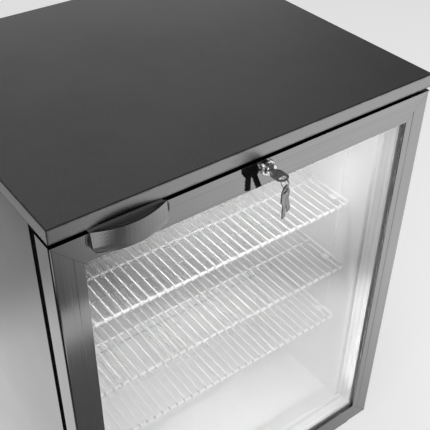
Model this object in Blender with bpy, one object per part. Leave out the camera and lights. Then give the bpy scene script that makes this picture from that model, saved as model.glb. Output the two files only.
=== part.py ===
"""Undercounter refrigerator with one glass door, as an assembly of separate pieces.

Lengths are in metres. Every piece is laid out in the door's own terms: x across, 0 at the middle and
+ to the right; y back from the front face of the door; z up from the floor. The empty front_plane
carries them all, and stands where the whole footprint is centred on the world's origin.
"""

import math

import bmesh
import bpy
from mathutils import Matrix, Vector

# Driving dimensions of the cabinet
WIDTH = 0.600
DEPTH = 0.520  # face of the door to the back edge of the worktop
HEIGHT = 0.850
GAP = 0.0003  # left between two pieces that touch
SHEET = 0.0009  # folded steel of the casing
TOP_THICK = 0.020  # worktop
SIDE = WIDTH / 2
FRAME_FRONT = 0.048  # front of the cabinet, behind the door and its gasket
BACK = DEPTH - 0.003  # outer face of the back panel
TOP_UNDER = HEIGHT - TOP_THICK
CASE_BOTTOM = 0.0305
PAN_TOP = 0.0445
CASE_INSIDE = SIDE - SHEET - GAP

# Inside of the cabinet
ROOM_HALF = 0.2562
ROOM_FLOOR = 0.140
ROOM_TOP = 0.786
ROOM_BACK = 0.4705
HUMP_TOP = 0.300  # step in the liner over the machine space
HUMP_FRONT = 0.300
LINER = 0.0013
DUCT_TOP = 0.1045  # underside of the insulation
MACHINE_FRONT = 0.3365
MACHINE_TOP = 0.2635

# Door
DOOR_TOP = 0.8240
DOOR_BOTTOM = 0.110
DOOR_THICK = 0.034
STILE = 0.0400  # width of the frame seen from the front
STILE_ROUND = 0.0032  # outer edge of the stiles
RAIL_ROUND = 0.0004  # the same of the rails
GROOVE = 0.0267  # fine line down each stile, from the outside of the frame
MITRE_GAP = 0.0002
GLASS_FRONT = 0.0055
PANE = 0.004
SPACER = 0.0094
GLASS_EDGE = 0.031  # edge of the panes, from the outside of the frame
GLASS_BACK = GLASS_FRONT + 2 * PANE + SPACER + 2 * GAP
HINGE_X = 0.285
HINGE_Y = 0.018
PIN_RADIUS = 0.0037
BUSH_RADIUS = 0.0059
BUSH_DEPTH = 0.012
ROD_TOP = 0.360

# Handle, at the left end of the top rail
HANDLE_X = -0.2015
HANDLE_HALF = 0.050
HANDLE_TOP = HEIGHT - 0.0235
HANDLE_BOTTOM = HEIGHT - 0.0565
HANDLE_CORNER = 0.013  # lower corners, seen from the front
HANDLE_REACH = 0.0155  # lip in front of the rail, at its middle
HANDLE_END_TOP = 0.0030  # the same at its two ends, above and below
HANDLE_END_LOW = 0.0065
HANDLE_ROUND = 0.0040  # lower front edge
HANDLE_WALL = 0.0028
CUP_DEPTH = 0.0117  # how far the finger cup is let into the rail
CUP_HALF = 0.0550
CUP_TOP = HEIGHT - 0.0262
CUP_BOTTOM = HEIGHT - 0.0450
CUP_RIM = 0.0008  # rim of the cup in front of the rail
CUP_WALL = 0.0016

# Lock, key and ring
LOCK_X = 0.0005
LOCK_Z = HEIGHT - 0.0388
PLUG_RADIUS = 0.0058
KEY_THICK = 0.0018
KEY_END = -0.0365  # outer end of the bow
RING_RADIUS = 0.008
RING_WIRE = 0.0008
RING_Y = -0.03515
RING_Z = LOCK_Z - 0.0058
SPARE_TILT = math.radians(14)

# Shelves
SHELF_LEVELS = (0.600, 0.470, 0.342)
SHELF_HALF = 0.250
SHELF_FRONT = 0.070
SHELF_BAY = 0.086  # between two cross rods
SHELF_BAYS = 4
WIRE_SPACES = 35
ROD_RADIUS = 0.0026
CROSS_RADIUS = 0.0018
WIRE = 0.0024

# Feet
FOOT_X = 0.262
FOOT_Y = (0.085, 0.480)
STUD_RADIUS = 0.005

FRONT_REACH = RING_WIRE + RING_RADIUS - RING_Y  # the key ring stands out furthest
FACE_Y = (FRONT_REACH - DEPTH) / 2  # the door's face in the world


def clear_scene():
    for obj in list(bpy.data.objects):
        bpy.data.objects.remove(obj)


def finish(name, colour, roughness, metallic=0.0, alpha=1.0):
    made = bpy.data.materials.new(name)
    made.use_nodes = True
    shader = made.node_tree.nodes["Principled BSDF"]
    shader.inputs["Base Color"].default_value = (*colour, 1.0)
    shader.inputs["Roughness"].default_value = roughness
    shader.inputs["Metallic"].default_value = metallic
    shader.inputs["Alpha"].default_value = alpha
    return made


class Pivot:
    """An empty, on a joint's axis where it carries a moving piece, with its place in the door's terms."""

    def __init__(self, name, at=(0, 0, 0), parent=None):
        self.at = Vector(at)
        self.empty = bpy.data.objects.new(name, None)
        bpy.context.collection.objects.link(self.empty)
        if parent:
            self.empty.parent = parent.empty
            self.empty.location = self.at - parent.at


def place(name, bm, made_of, pivot, at=None, smooth=False):
    """Turns a shape drawn in the door's terms into an object with its origin at 'at', or at the pivot."""
    origin = Vector(at) if at is not None else pivot.at
    bmesh.ops.translate(bm, verts=bm.verts, vec=-origin)
    bmesh.ops.recalc_face_normals(bm, faces=bm.faces)
    mesh = bpy.data.meshes.new(name)
    bm.to_mesh(mesh)
    bm.free()
    if made_of:
        mesh.materials.append(made_of)
    if smooth:
        mesh.shade_smooth()
        mesh.set_sharp_from_angle(angle=math.radians(35))
    obj = bpy.data.objects.new(name, mesh)
    bpy.context.collection.objects.link(obj)
    obj.parent = pivot.empty
    obj.location = origin - pivot.at
    return obj


def helper(name, bm, pivot):
    """A shape that only cuts or joins another."""
    obj = place(name, bm, None, pivot)
    obj.hide_render = True
    obj.display_type = "WIRE"
    return obj


def combine(target, other, operation):
    modifier = target.modifiers.new(other.name, "BOOLEAN")
    modifier.operation = operation
    modifier.object = other
    modifier.solver = "EXACT"
    modifier.use_self = operation == "UNION"  # a helper's own shapes may run into each other


def cut(target, bm, pivot):
    combine(target, helper(target.name + "_cut", bm, pivot), "DIFFERENCE")


def join(target, bm, pivot):
    combine(target, helper(target.name + "_join", bm, pivot), "UNION")


def box(bm, low, high):
    low, high = Vector(low), Vector(high)
    made = bmesh.ops.create_cube(bm, size=1.0)["verts"]
    bmesh.ops.scale(bm, vec=high - low, verts=made)
    bmesh.ops.translate(bm, vec=(low + high) / 2, verts=made)
    return made


def prism(bm, outline, axis, start, end):
    """Pushes a flat outline along X, Y or Z. Its points give the other two coordinates, in XYZ order."""
    number = "XYZ".index(axis)
    verts = []
    for pair in outline:
        point = list(pair)
        point.insert(number, start)
        verts.append(bm.verts.new(point))
    face = bm.faces.new(verts)
    pushed = bmesh.ops.extrude_face_region(bm, geom=[face])["geom"]
    moved = [item for item in pushed if isinstance(item, bmesh.types.BMVert)]
    step = Vector()
    step[number] = end - start
    bmesh.ops.translate(bm, vec=step, verts=moved)
    return verts + moved


def turned(bm, profile, centre, axis, steps, ring=False):
    """Spins (radius, height) points about the axis Y or Z through the centre; a ring's profile is closed."""
    centre = Vector(centre)
    along = Vector((0, 1, 0)) if axis == "Y" else Vector((0, 0, 1))
    verts = [bm.verts.new(centre + Vector((radius, 0, 0)) + along * height) for radius, height in profile]
    edges = [bm.edges.new(pair) for pair in zip(verts, verts[1:])]
    if ring:
        edges.append(bm.edges.new((verts[-1], verts[0])))
    before = set(bm.verts) - set(verts)
    bmesh.ops.spin(
        bm, geom=verts + edges, cent=centre, axis=along, angle=2 * math.pi, steps=steps, use_merge=True
    )
    made = [vert for vert in bm.verts if vert not in before]
    bmesh.ops.remove_doubles(bm, verts=made, dist=1e-6)
    return [vert for vert in bm.verts if vert not in before]


def rod(bm, radius, start, end, sides=8):
    """A straight round bar from start to end, with flats up, down and to the sides."""
    start, end = Vector(start), Vector(end)
    made = bmesh.ops.create_cone(
        bm,
        cap_ends=True,
        segments=sides,
        radius1=radius / math.cos(math.pi / sides),
        radius2=radius / math.cos(math.pi / sides),
        depth=(end - start).length,
    )["verts"]
    half_step = Matrix.Rotation(math.pi / sides, 4, "Z")
    turn = (end - start).to_track_quat("Z", "Y").to_matrix().to_4x4()
    bmesh.ops.transform(bm, matrix=Matrix.Translation((start + end) / 2) @ turn @ half_step, verts=made)
    return made


def loft(bm, rings):
    """Skins closed rings of points, and closes both ends."""
    loops = [[bm.verts.new(point) for point in ring] for ring in rings]
    for here, after in zip(loops, loops[1:]):
        for i, vert in enumerate(here):
            bm.faces.new((vert, here[i - 1], after[i - 1], after[i]))
    bm.faces.new(loops[0])
    bm.faces.new(reversed(loops[-1]))


def bezier(pull, t):
    """A point on the cubic curve with these four control points."""
    return sum((pull[k] * math.comb(3, k) * t**k * (1 - t) ** (3 - k) for k in range(4)), Vector())


def tube(bm, radius, route, sides=8):
    """A round pipe along a route of points."""
    rings = []
    for i, point in enumerate(route):
        before, after = route[max(i - 1, 0)], route[min(i + 1, len(route) - 1)]
        turn = (after - before).to_track_quat("Z", "Y").to_matrix()
        rings.append([point + turn @ Vector((x, y, 0)) for x, y in arc(radius, 0, 360, sides)[1:]])
    loft(bm, rings)


def corner_loops(section, side, low, high):
    """The section (inset, depth) at the four corners of a rectangle, its inset measured on the mitre."""
    corners = ((-side, low, 1, 1), (side, low, -1, 1), (side, high, -1, -1), (-side, high, 1, -1))
    return [
        [Vector((x + right * inset, depth, z + up * inset)) for inset, depth in section]
        for x, z, right, up in corners
    ]


def mitred_ring(bm, section, side, low, high):
    """One closed frame: the section carried round a rectangle."""
    loops = [[bm.verts.new(point) for point in loop] for loop in corner_loops(section, side, low, high)]
    for here, after in zip(loops, loops[1:] + loops[:1]):
        for i, vert in enumerate(here):
            bm.faces.new((vert, here[i - 1], after[i - 1], after[i]))


def mitred_bar(bm, section, side, low, high, number):
    """One bar of a frame, cut at 45 degrees at both ends: 0 bottom, 1 right, 2 top, 3 left."""
    loops = corner_loops(section, side, low, high)
    here, after = loops[number], loops[(number + 1) % 4]
    along = (after[0] - here[0]).normalized() * MITRE_GAP
    loft(bm, [[point + along for point in here], [point - along for point in after]])


def arc(radius, start, end, steps, centre=(0, 0)):
    """Points on a circle, with angles in degrees."""
    angles = [math.radians(start + (end - start) * i / steps) for i in range(steps + 1)]
    return [(centre[0] + radius * math.cos(a), centre[1] + radius * math.sin(a)) for a in angles]


# Cabinet


def worktop(frame, steel, board):
    bm = bmesh.new()
    box(bm, (-SIDE, 0, TOP_UNDER), (SIDE, DEPTH, HEIGHT))
    under = min(bm.faces, key=lambda face: face.calc_center_median().z)
    folds = [edge for edge in bm.edges if edge not in under.edges[:]]
    bmesh.ops.bevel(bm, geom=folds, offset=0.0008, affect="EDGES", segments=2, profile=0.5, material=-1)
    under = min(bm.faces, key=lambda face: face.calc_center_median().z)
    bmesh.ops.inset_region(bm, faces=[under], thickness=SHEET)
    pushed = bmesh.ops.extrude_face_region(bm, geom=[under])["geom"]
    bmesh.ops.delete(bm, geom=[under], context="FACES_ONLY")
    lifted = [item for item in pushed if isinstance(item, bmesh.types.BMVert)]
    bmesh.ops.translate(bm, vec=(0, 0, TOP_THICK - SHEET), verts=lifted)
    place("worktop_skin", bm, steel, frame, (0, DEPTH / 2, HEIGHT))

    inner = SHEET + GAP
    bm = bmesh.new()
    box(bm, (inner - SIDE, inner, TOP_UNDER), (SIDE - inner, DEPTH - inner, HEIGHT - inner))
    place("worktop_board", bm, board, frame, (0, DEPTH / 2, TOP_UNDER))


def side_panel(name, side, frame, steel):
    """A folded sheet with a return along its front and back edges."""
    fold = 0.012
    outline = [
        (SIDE, FRAME_FRONT),
        (SIDE, DEPTH),
        (SIDE - fold, DEPTH),
        (SIDE - fold, DEPTH - SHEET),
        (SIDE - SHEET, DEPTH - SHEET),
        (SIDE - SHEET, FRAME_FRONT + SHEET),
        (SIDE - fold, FRAME_FRONT + SHEET),
        (SIDE - fold, FRAME_FRONT),
    ]
    bm = bmesh.new()
    prism(bm, [(side * x, y) for x, y in outline], "Z", CASE_BOTTOM, TOP_UNDER - GAP)
    place(name, bm, steel, frame, (side * SIDE, DEPTH / 2, CASE_BOTTOM))


def back_panel(frame, steel):
    """A flat sheet with two columns of air slots over the machine space and a hole for the mains inlet."""
    slots, slot_long, slot_high, pitch, lowest = 8, 0.150, 0.006, 0.018, 0.085
    bm = bmesh.new()
    box(bm, (-CASE_INSIDE, BACK - SHEET, CASE_BOTTOM), (CASE_INSIDE, BACK, TOP_UNDER - GAP))
    panel = place("back_panel", bm, steel, frame, (0, BACK, CASE_BOTTOM))
    bm = bmesh.new()
    for column in (-0.160, 0.130):
        for i in range(slots):
            z = lowest + i * pitch
            box(bm, (column - slot_long / 2, BACK - 0.01, z), (column + slot_long / 2, BACK + 0.01, z + slot_high))
    turned(bm, [(0, -0.01), (0.0092, -0.01), (0.0092, 0.01), (0, 0.01)], INLET, "Y", 16)
    cut(panel, bm, frame)


INLET = (0.245, BACK, 0.075)


def mains_inlet(frame, rubber):
    """The grommet that a mains lead would come out of."""
    lip, flange, bore, body = 0.0024, 0.0125, 0.0035, 0.0089
    profile = [
        (bore, -0.014),
        (0.007, -0.014),
        (body, -0.010),
        (body, GAP),
        (flange, GAP),
        (flange, GAP + lip / 2),
        (0.009, GAP + lip),
        (bore, GAP + lip),
    ]
    bm = bmesh.new()
    turned(bm, profile, INLET, "Y", 16, ring=True)
    place("mains_inlet", bm, rubber, frame, INLET, smooth=True)


def base_pan(frame, galvanised):
    """The floor tray, with a threaded boss over each foot."""
    floor = 0.0015
    bm = bmesh.new()
    box(bm, (-CASE_INSIDE, FRAME_FRONT + 0.0015, CASE_BOTTOM), (CASE_INSIDE, BACK - SHEET - GAP, PAN_TOP))
    top = max(bm.faces, key=lambda face: face.calc_center_median().z)
    bmesh.ops.inset_region(bm, faces=[top], thickness=0.0012)
    pushed = bmesh.ops.extrude_face_region(bm, geom=[top])["geom"]
    bmesh.ops.delete(bm, geom=[top], context="FACES_ONLY")
    sunk = [item for item in pushed if isinstance(item, bmesh.types.BMVert)]
    bmesh.ops.translate(bm, vec=(0, 0, CASE_BOTTOM + floor - PAN_TOP), verts=sunk)
    pan = place("base_pan", bm, galvanised, frame, (0, DEPTH / 2, CASE_BOTTOM))
    bosses, bores = bmesh.new(), bmesh.new()
    for x in (-FOOT_X, FOOT_X):
        for y in FOOT_Y:
            rod(bosses, 0.010, (x, y, CASE_BOTTOM + floor / 2), (x, y, PAN_TOP), sides=6)
            rod(bores, STUD_RADIUS + 0.0003, (x, y, 0), (x, y, 2 * PAN_TOP), sides=16)
    join(pan, bosses, frame)
    cut(pan, bores, frame)


def foot(name, x, y, frame, rubber):
    """A levelling foot: a flared pad, its hexagon and its stud in one moulding."""
    pad, waist = 0.019, 0.008
    profile = [
        (0, 0),
        (pad - 0.001, 0),
        (pad, 0.003),
        (waist, 0.014),
        (waist, 0.018),
        (0.011, 0.018),
        (0.011, CASE_BOTTOM - GAP),
        (STUD_RADIUS, CASE_BOTTOM - GAP),
        (STUD_RADIUS, PAN_TOP),
        (0, PAN_TOP),
    ]
    axis = Pivot(name + "_axis", (x, y, 0), frame)
    bm = bmesh.new()
    turned(bm, profile, (x, y, 0), "Z", 16)
    place(name, bm, rubber, axis, smooth=True)


def room_outline(grow):
    """The side view of the liner's inside, made larger all round; open at the front."""
    return [
        (0, ROOM_FLOOR - grow),
        (HUMP_FRONT + grow, ROOM_FLOOR - grow),
        (HUMP_FRONT + grow, HUMP_TOP - grow),
        (ROOM_BACK + grow, HUMP_TOP - grow),
        (ROOM_BACK + grow, ROOM_TOP + grow),
        (0, ROOM_TOP + grow),
    ]


def insulation(frame, foam):
    front = FRAME_FRONT + 0.0027
    back = BACK - SHEET - GAP
    outline = [
        (front, DUCT_TOP),
        (MACHINE_FRONT, DUCT_TOP),
        (MACHINE_FRONT, MACHINE_TOP),
        (back, MACHINE_TOP),
        (back, TOP_UNDER - GAP),
        (front, TOP_UNDER - GAP),
    ]
    bm = bmesh.new()
    prism(bm, outline, "X", -CASE_INSIDE, CASE_INSIDE)
    block = place("insulation_foam", bm, foam, frame, (0, DEPTH / 2, DUCT_TOP))
    room = ROOM_HALF + LINER + GAP
    bm = bmesh.new()
    prism(bm, room_outline(LINER + GAP), "X", -room, room)
    cut(block, bm, frame)


def liner(frame, white):
    """A thin moulded box, stepped over the machine space, with a flange behind the breaker."""
    flange_front = FRAME_FRONT + 0.0015
    flange_back = FRAME_FRONT + 0.0024
    outer = ROOM_HALF + LINER
    bm = bmesh.new()
    shell = prism(bm, room_outline(LINER), "X", -outer, outer)
    for vert in shell:
        vert.co.y = max(vert.co.y, flange_front)
    body = place("liner", bm, white, frame, (0, FRAME_FRONT, ROOM_FLOOR))
    bm = bmesh.new()
    box(bm, (-CASE_INSIDE + 0.012, flange_front, DUCT_TOP), (CASE_INSIDE - 0.012, flange_back, TOP_UNDER - GAP))
    join(body, bm, frame)
    bm = bmesh.new()
    prism(bm, room_outline(0), "X", -ROOM_HALF, ROOM_HALF)
    cut(body, bm, frame)


def front_breaker(frame, white):
    """The plastic trim round the mouth of the cabinet, with a lip that covers the liner's edge."""
    side = SIDE - 0.012 - GAP
    low, high = DUCT_TOP, TOP_UNDER - GAP
    wall = 0.0012
    mouth = side - ROOM_HALF + GAP
    section = [
        (0, FRAME_FRONT),
        (mouth, FRAME_FRONT),
        (mouth + wall, FRAME_FRONT + 0.001),
        (mouth + wall, FRAME_FRONT + 0.012),
        (mouth, FRAME_FRONT + 0.012),
        (mouth, FRAME_FRONT + wall),
        (0, FRAME_FRONT + wall),
    ]
    bm = bmesh.new()
    loops = [[bm.verts.new(point) for point in loop] for loop in corner_loops(section, side, low, high)]
    for loop, z in zip(loops, (ROOM_FLOOR, ROOM_FLOOR, ROOM_TOP, ROOM_TOP)):
        up = 1 if z == ROOM_FLOOR else -1
        for vert, (inset, _) in zip(loop, section):
            if inset:
                vert.co.z = z + up * (inset - mouth + GAP)
    for here, after in zip(loops, loops[1:] + loops[:1]):
        for i, vert in enumerate(here):
            bm.faces.new((vert, here[i - 1], after[i - 1], after[i]))
    place("front_breaker", bm, white, frame, (0, FRAME_FRONT, ROOM_FLOOR))


GRILLE_FRONT = 0.036
GRILLE_TOP = 0.103
CONTROL = (0.205, GRILLE_FRONT, 0.068)
CONTROL_HALF = (0.0345, 0.0155)


def kick_grille(frame, dark):
    """The panel under the door: a folded sheet with rows of air slots, and a window for the controller."""
    wall = 0.0015
    outline = [
        (-SIDE, FRAME_FRONT - GAP),
        (-SIDE, GRILLE_FRONT),
        (SIDE, GRILLE_FRONT),
        (SIDE, FRAME_FRONT - GAP),
        (SIDE - wall, FRAME_FRONT - GAP),
        (SIDE - wall, GRILLE_FRONT + wall),
        (wall - SIDE, GRILLE_FRONT + wall),
        (wall - SIDE, FRAME_FRONT - GAP),
    ]
    bm = bmesh.new()
    prism(bm, outline, "Z", CASE_BOTTOM + 0.003, GRILLE_TOP)
    panel = place("kick_grille", bm, dark, frame, (0, GRILLE_FRONT, GRILLE_TOP))
    bm = bmesh.new()
    for row in range(4):
        for column in range(4):
            x = -0.275 + column * 0.103
            z = 0.045 + row * 0.0135
            box(bm, (x, 0, z), (x + 0.090, GRILLE_FRONT + 0.01, z + 0.005))
    wide, high = CONTROL_HALF[0] + GAP, CONTROL_HALF[1] + GAP
    low = (CONTROL[0] - wide, 0, CONTROL[2] - high)
    box(bm, low, (CONTROL[0] + wide, GRILLE_FRONT + 0.01, CONTROL[2] + high))
    cut(panel, bm, frame)


BUTTON_RADIUS = 0.0032
BUTTON_TRAVEL = 0.0008
BUTTON_OFFSETS = (0.0080, 0.0175, 0.0270)


def controller(frame, dark, button_plastic):
    """The temperature controller in its window, with a sunk display and three push buttons."""
    x, _, z = CONTROL
    wide, high = CONTROL_HALF
    rim, face = 0.004, GRILLE_FRONT - 0.0023
    bm = bmesh.new()
    box(bm, (x - wide, face + 0.001, z - high), (x + wide, FRAME_FRONT - 0.001, z + high))
    housing = place("controller_housing", bm, dark, frame, CONTROL)
    bm = bmesh.new()
    made = box(bm, (x - wide - rim, face, z - high - rim), (x + wide + rim, GRILLE_FRONT - GAP, z + high + rim))
    front = [edge for edge in bm.edges if all(vert.co.y < face + 0.0001 for vert in edge.verts)]
    bmesh.ops.bevel(bm, geom=front, offset=0.001, affect="EDGES", segments=2, profile=0.5, material=-1)
    join(housing, bm, frame)
    bm = bmesh.new()
    box(bm, (x - 0.030, face - 0.01, z - 0.010), (x - 0.001, face + 0.0008, z + 0.010))
    for offset in BUTTON_OFFSETS:
        hole = [(0, -0.01), (BUTTON_RADIUS + GAP, -0.01), (BUTTON_RADIUS + GAP, 0.0045), (0, 0.0045)]
        turned(bm, hole, (x + offset, face, z), "Y", 12)
    cut(housing, bm, frame)
    for name, offset in zip(("button_set", "button_down", "button_up"), BUTTON_OFFSETS):
        axis = Pivot(name + "_axis", (x + offset, face, z), frame)
        cap = [(0, -0.0015), (0.0025, -0.0015), (BUTTON_RADIUS, -0.0009), (BUTTON_RADIUS, 0.0032), (0, 0.0032)]
        bm = bmesh.new()
        turned(bm, cap, axis.at, "Y", 12)
        place(name, bm, button_plastic, axis, smooth=True)


def strike_plate(frame, steel):
    """The plate that the lock's cam turns up behind, on a foot screwed to the cabinet's front."""
    wide, thick, front = 0.022, 0.002, 0.0365
    bm = bmesh.new()
    outline = [
        (front, LOCK_Z + 0.0088),
        (front, TOP_UNDER - GAP),
        (FRAME_FRONT - GAP, TOP_UNDER - GAP),
        (FRAME_FRONT - GAP, TOP_UNDER - GAP - 0.0015),
        (front + thick, TOP_UNDER - GAP - 0.0015),
        (front + thick, LOCK_Z + 0.0088),
    ]
    prism(bm, outline, "X", LOCK_X - wide, LOCK_X + wide)
    place("strike_plate", bm, steel, frame, (LOCK_X, FRAME_FRONT, TOP_UNDER))


def hinge_bracket(name, frame, steel, plate, leg_end, pin_end):
    """An angle on the cabinet's front whose flat carries the door's pin."""
    left, right, thick = 0.2640, 0.2970, 0.0019
    near = HINGE_Y - 0.010
    low, high = sorted(plate)
    bm = bmesh.new()
    box(bm, (left, near, low), (right, FRAME_FRONT - GAP, high))
    corners = [edge for edge in bm.edges if all(vert.co.y < near + 0.0001 for vert in edge.verts)]
    upright = [edge for edge in corners if abs(edge.verts[0].co.z - edge.verts[1].co.z) > 0.001]
    bmesh.ops.bevel(bm, geom=upright, offset=0.008, affect="EDGES", segments=3, profile=0.5, material=-1)
    bracket = place(name, bm, steel, frame, (HINGE_X, HINGE_Y, low))
    bm = bmesh.new()
    inside = (low + high) / 2
    low_z, high_z = sorted((inside, leg_end))
    box(bm, (left + 0.014, FRAME_FRONT - GAP - thick, low_z), (right - 0.0001, FRAME_FRONT - GAP - 0.0001, high_z))
    join(bracket, bm, frame)
    bm = bmesh.new()
    rod(bm, PIN_RADIUS, (HINGE_X, HINGE_Y, inside), (HINGE_X, HINGE_Y, pin_end), sides=16)
    join(bracket, bm, frame)


def shelf_upright(name, side, y, frame, coated):
    """A strip on the side wall with a hooked clip under each shelf."""
    near, far, half = ROOM_HALF - GAP - 0.0028, ROOM_HALF - GAP, 0.007
    clip_in, clip_thick = 0.015, 0.002
    bm = bmesh.new()
    prism(
        bm,
        [(side * near, y - half), (side * far, y - half), (side * far, y + half), (side * near, y + half)],
        "Z",
        HUMP_TOP + 0.010,
        ROOM_TOP - 0.020,
    )
    strip = place(name, bm, coated, frame, (side * far, y, HUMP_TOP))
    bm = bmesh.new()
    for level in SHELF_LEVELS:
        seat = level - ROD_RADIUS - GAP
        outline = [
            (side * (near + 0.001), seat),
            (side * (near - clip_in), seat),
            (side * (near - clip_in), seat - clip_thick),
            (side * (near - 0.002), seat - clip_thick),
            (side * (near - 0.001), seat - 0.010),
            (side * (near + 0.001), seat - 0.010),
        ]
        prism(bm, outline, "Y", y - half + 0.001, y + half - 0.001)
    join(strip, bm, frame)


def shelf(name, level, frame, wire):
    """A rectangular frame of round rod, closed by fine wires, over three cross rods."""
    back = SHELF_FRONT + SHELF_BAYS * SHELF_BAY
    axis = Pivot(name + "_axis", (0, SHELF_FRONT, level), frame)
    edge = SHELF_HALF + ROD_RADIUS
    corner = 0.010
    rounds = (
        arc(corner, 180, 270, 3, (corner - edge, SHELF_FRONT - ROD_RADIUS + corner)),
        arc(corner, 270, 360, 3, (edge - corner, SHELF_FRONT - ROD_RADIUS + corner)),
        arc(corner, 0, 90, 3, (edge - corner, back + ROD_RADIUS - corner)),
        arc(corner, 90, 180, 3, (corner - edge, back + ROD_RADIUS - corner)),
    )
    outline = [point for points in rounds for point in points]
    slant = ROD_RADIUS * math.tan(math.pi / 8)
    section = [
        (-ROD_RADIUS, slant),
        (-slant, ROD_RADIUS),
        (slant, ROD_RADIUS),
        (ROD_RADIUS, slant),
        (ROD_RADIUS, -slant),
        (slant, -ROD_RADIUS),
        (-slant, -ROD_RADIUS),
        (-ROD_RADIUS, -slant),
    ]
    bm = bmesh.new()
    loops = []
    for number, (x, y) in enumerate(outline):
        before, after = outline[number - 1], outline[(number + 1) % len(outline)]
        travel = Vector((after[0] - before[0], after[1] - before[1])).normalized()
        outward = Vector((travel.y, -travel.x))
        loop = []
        for out, up in section:
            shift = outward * (out - ROD_RADIUS)
            loop.append(bm.verts.new((x + shift.x, y + shift.y, level + up)))
        loops.append(loop)
    for here, there in zip(loops, loops[1:] + loops[:1]):
        for i, vert in enumerate(here):
            bm.faces.new((vert, here[i - 1], there[i - 1], there[i]))
    grid = place(name, bm, wire, axis, smooth=True)
    bm = bmesh.new()
    for i in range(1, WIRE_SPACES):
        x = 2 * SHELF_HALF * i / WIRE_SPACES - SHELF_HALF
        low = (x - WIRE / 2, SHELF_FRONT, level)
        box(bm, low, (x + WIRE / 2, back, level + WIRE))
    join(grid, bm, axis)
    bm = bmesh.new()
    for i in range(1, SHELF_BAYS):
        y = SHELF_FRONT + i * SHELF_BAY
        z = level - GAP - CROSS_RADIUS
        rod(bm, CROSS_RADIUS, (-SHELF_HALF, y, z), (SHELF_HALF, y, z), sides=8)
    join(grid, bm, axis)


# Cooling


COVER_HALF = 0.195
COVER_LOW, COVER_HIGH = 0.500, 0.770
COVER_FRONT = 0.425
EVAP_FAN = (0.0, 0.442, 0.562)
EVAP_FAN_RADIUS = 0.046


def evaporator(frame, white, aluminium, dark):
    """The finned coil, the fan below it, and the cover over both, on the back wall."""
    behind = ROOM_BACK - GAP
    wall = 0.0016
    bm = bmesh.new()
    box(bm, (-COVER_HALF, COVER_FRONT, COVER_LOW), (COVER_HALF, behind, COVER_HIGH))
    front_round = [edge for edge in bm.edges if all(vert.co.y < COVER_FRONT + 0.0001 for vert in edge.verts)]
    bmesh.ops.bevel(bm, geom=front_round, offset=0.003, affect="EDGES", segments=2, profile=0.5, material=-1)
    cover = place("evaporator_cover", bm, white, frame, (0, behind, COVER_LOW))
    bm = bmesh.new()
    box(
        bm,
        (wall - COVER_HALF, COVER_FRONT + wall, COVER_LOW + wall),
        (COVER_HALF - wall, behind + 0.01, COVER_HIGH - wall),
    )
    cut(cover, bm, frame)
    bm = bmesh.new()
    for i in range(16):
        made = box(bm, (0.018, 0, -0.003), (EVAP_FAN_RADIUS, 0.02, 0.003))
        turn = Matrix.Rotation(2 * math.pi * i / 16, 4, "Y")
        spot = Matrix.Translation((EVAP_FAN[0], COVER_FRONT - 0.01, EVAP_FAN[2]))
        bmesh.ops.transform(bm, matrix=spot @ turn, verts=made)
    for i in range(6):
        x = -0.150 + i * 0.060
        box(bm, (x - 0.022, COVER_FRONT - 0.01, 0.735), (x + 0.022, COVER_FRONT + 0.01, 0.740))
    cut(cover, bm, frame)

    bm = bmesh.new()
    fins, low, high = 22, 0.622, 0.728
    box(bm, (-0.168, 0.448, low + 0.012), (0.168, 0.454, high - 0.012))
    coil = place("evaporator_coil", bm, aluminium, frame, (0, behind, low))
    bm = bmesh.new()
    for i in range(fins):
        x = -0.160 + 0.320 * i / (fins - 1)
        box(bm, (x - 0.0008, 0.434, low), (x + 0.0008, behind, high))
    join(coil, bm, frame)

    x, y, z = EVAP_FAN
    bm = bmesh.new()
    motor_front = 0.001
    depth = behind - y
    profile = [(0, motor_front), (0.016, motor_front), (0.019, 0.004), (0.019, depth), (0, depth)]
    turned(bm, profile, EVAP_FAN, "Y", 16)
    place("evaporator_fan_motor", bm, dark, frame, EVAP_FAN, smooth=True)
    fan_rotor("evaporator_fan_rotor", Vector(EVAP_FAN), 0.011, 0.017, EVAP_FAN_RADIUS - 0.002, frame, dark)


def fan_rotor(name, centre, thick, hub, tip, frame, plastic):
    """Five pitched blades on a hub, in front of its motor."""
    blades, chord, blade_thick, pitch = 5, 0.55 * tip, 0.0014, math.radians(22)
    axis = Pivot(name + "_axis", centre, frame)
    bm = bmesh.new()
    profile = [(0, -thick), (hub - 0.002, -thick), (hub, 0.002 - thick), (hub, 0), (0, 0)]
    turned(bm, profile, centre, "Y", 16)
    rotor = place(name, bm, plastic, axis, smooth=True)
    bm = bmesh.new()
    for i in range(blades):
        made = box(bm, (hub - 0.003, -blade_thick / 2, -chord / 2), (tip, blade_thick / 2, chord / 2))
        for vert in made:
            if vert.co.x < hub:
                vert.co.z *= 0.55
        tilt = Matrix.Rotation(pitch, 4, "X")
        turn = Matrix.Rotation(2 * math.pi * i / blades, 4, "Y")
        spot = Matrix.Translation(centre + Vector((0, -thick / 2, 0)))
        bmesh.ops.transform(bm, matrix=spot @ turn @ tilt, verts=made)
    join(rotor, bm, axis)


CONDENSER_X = (-0.275, -0.085)
CONDENSER_Z = (PAN_TOP - 0.0122, 0.238)
CONDENSER_Y = (0.345, 0.388)
SHROUD_BACK = 0.412
CONDENSER_FAN_RADIUS = 0.074


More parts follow.
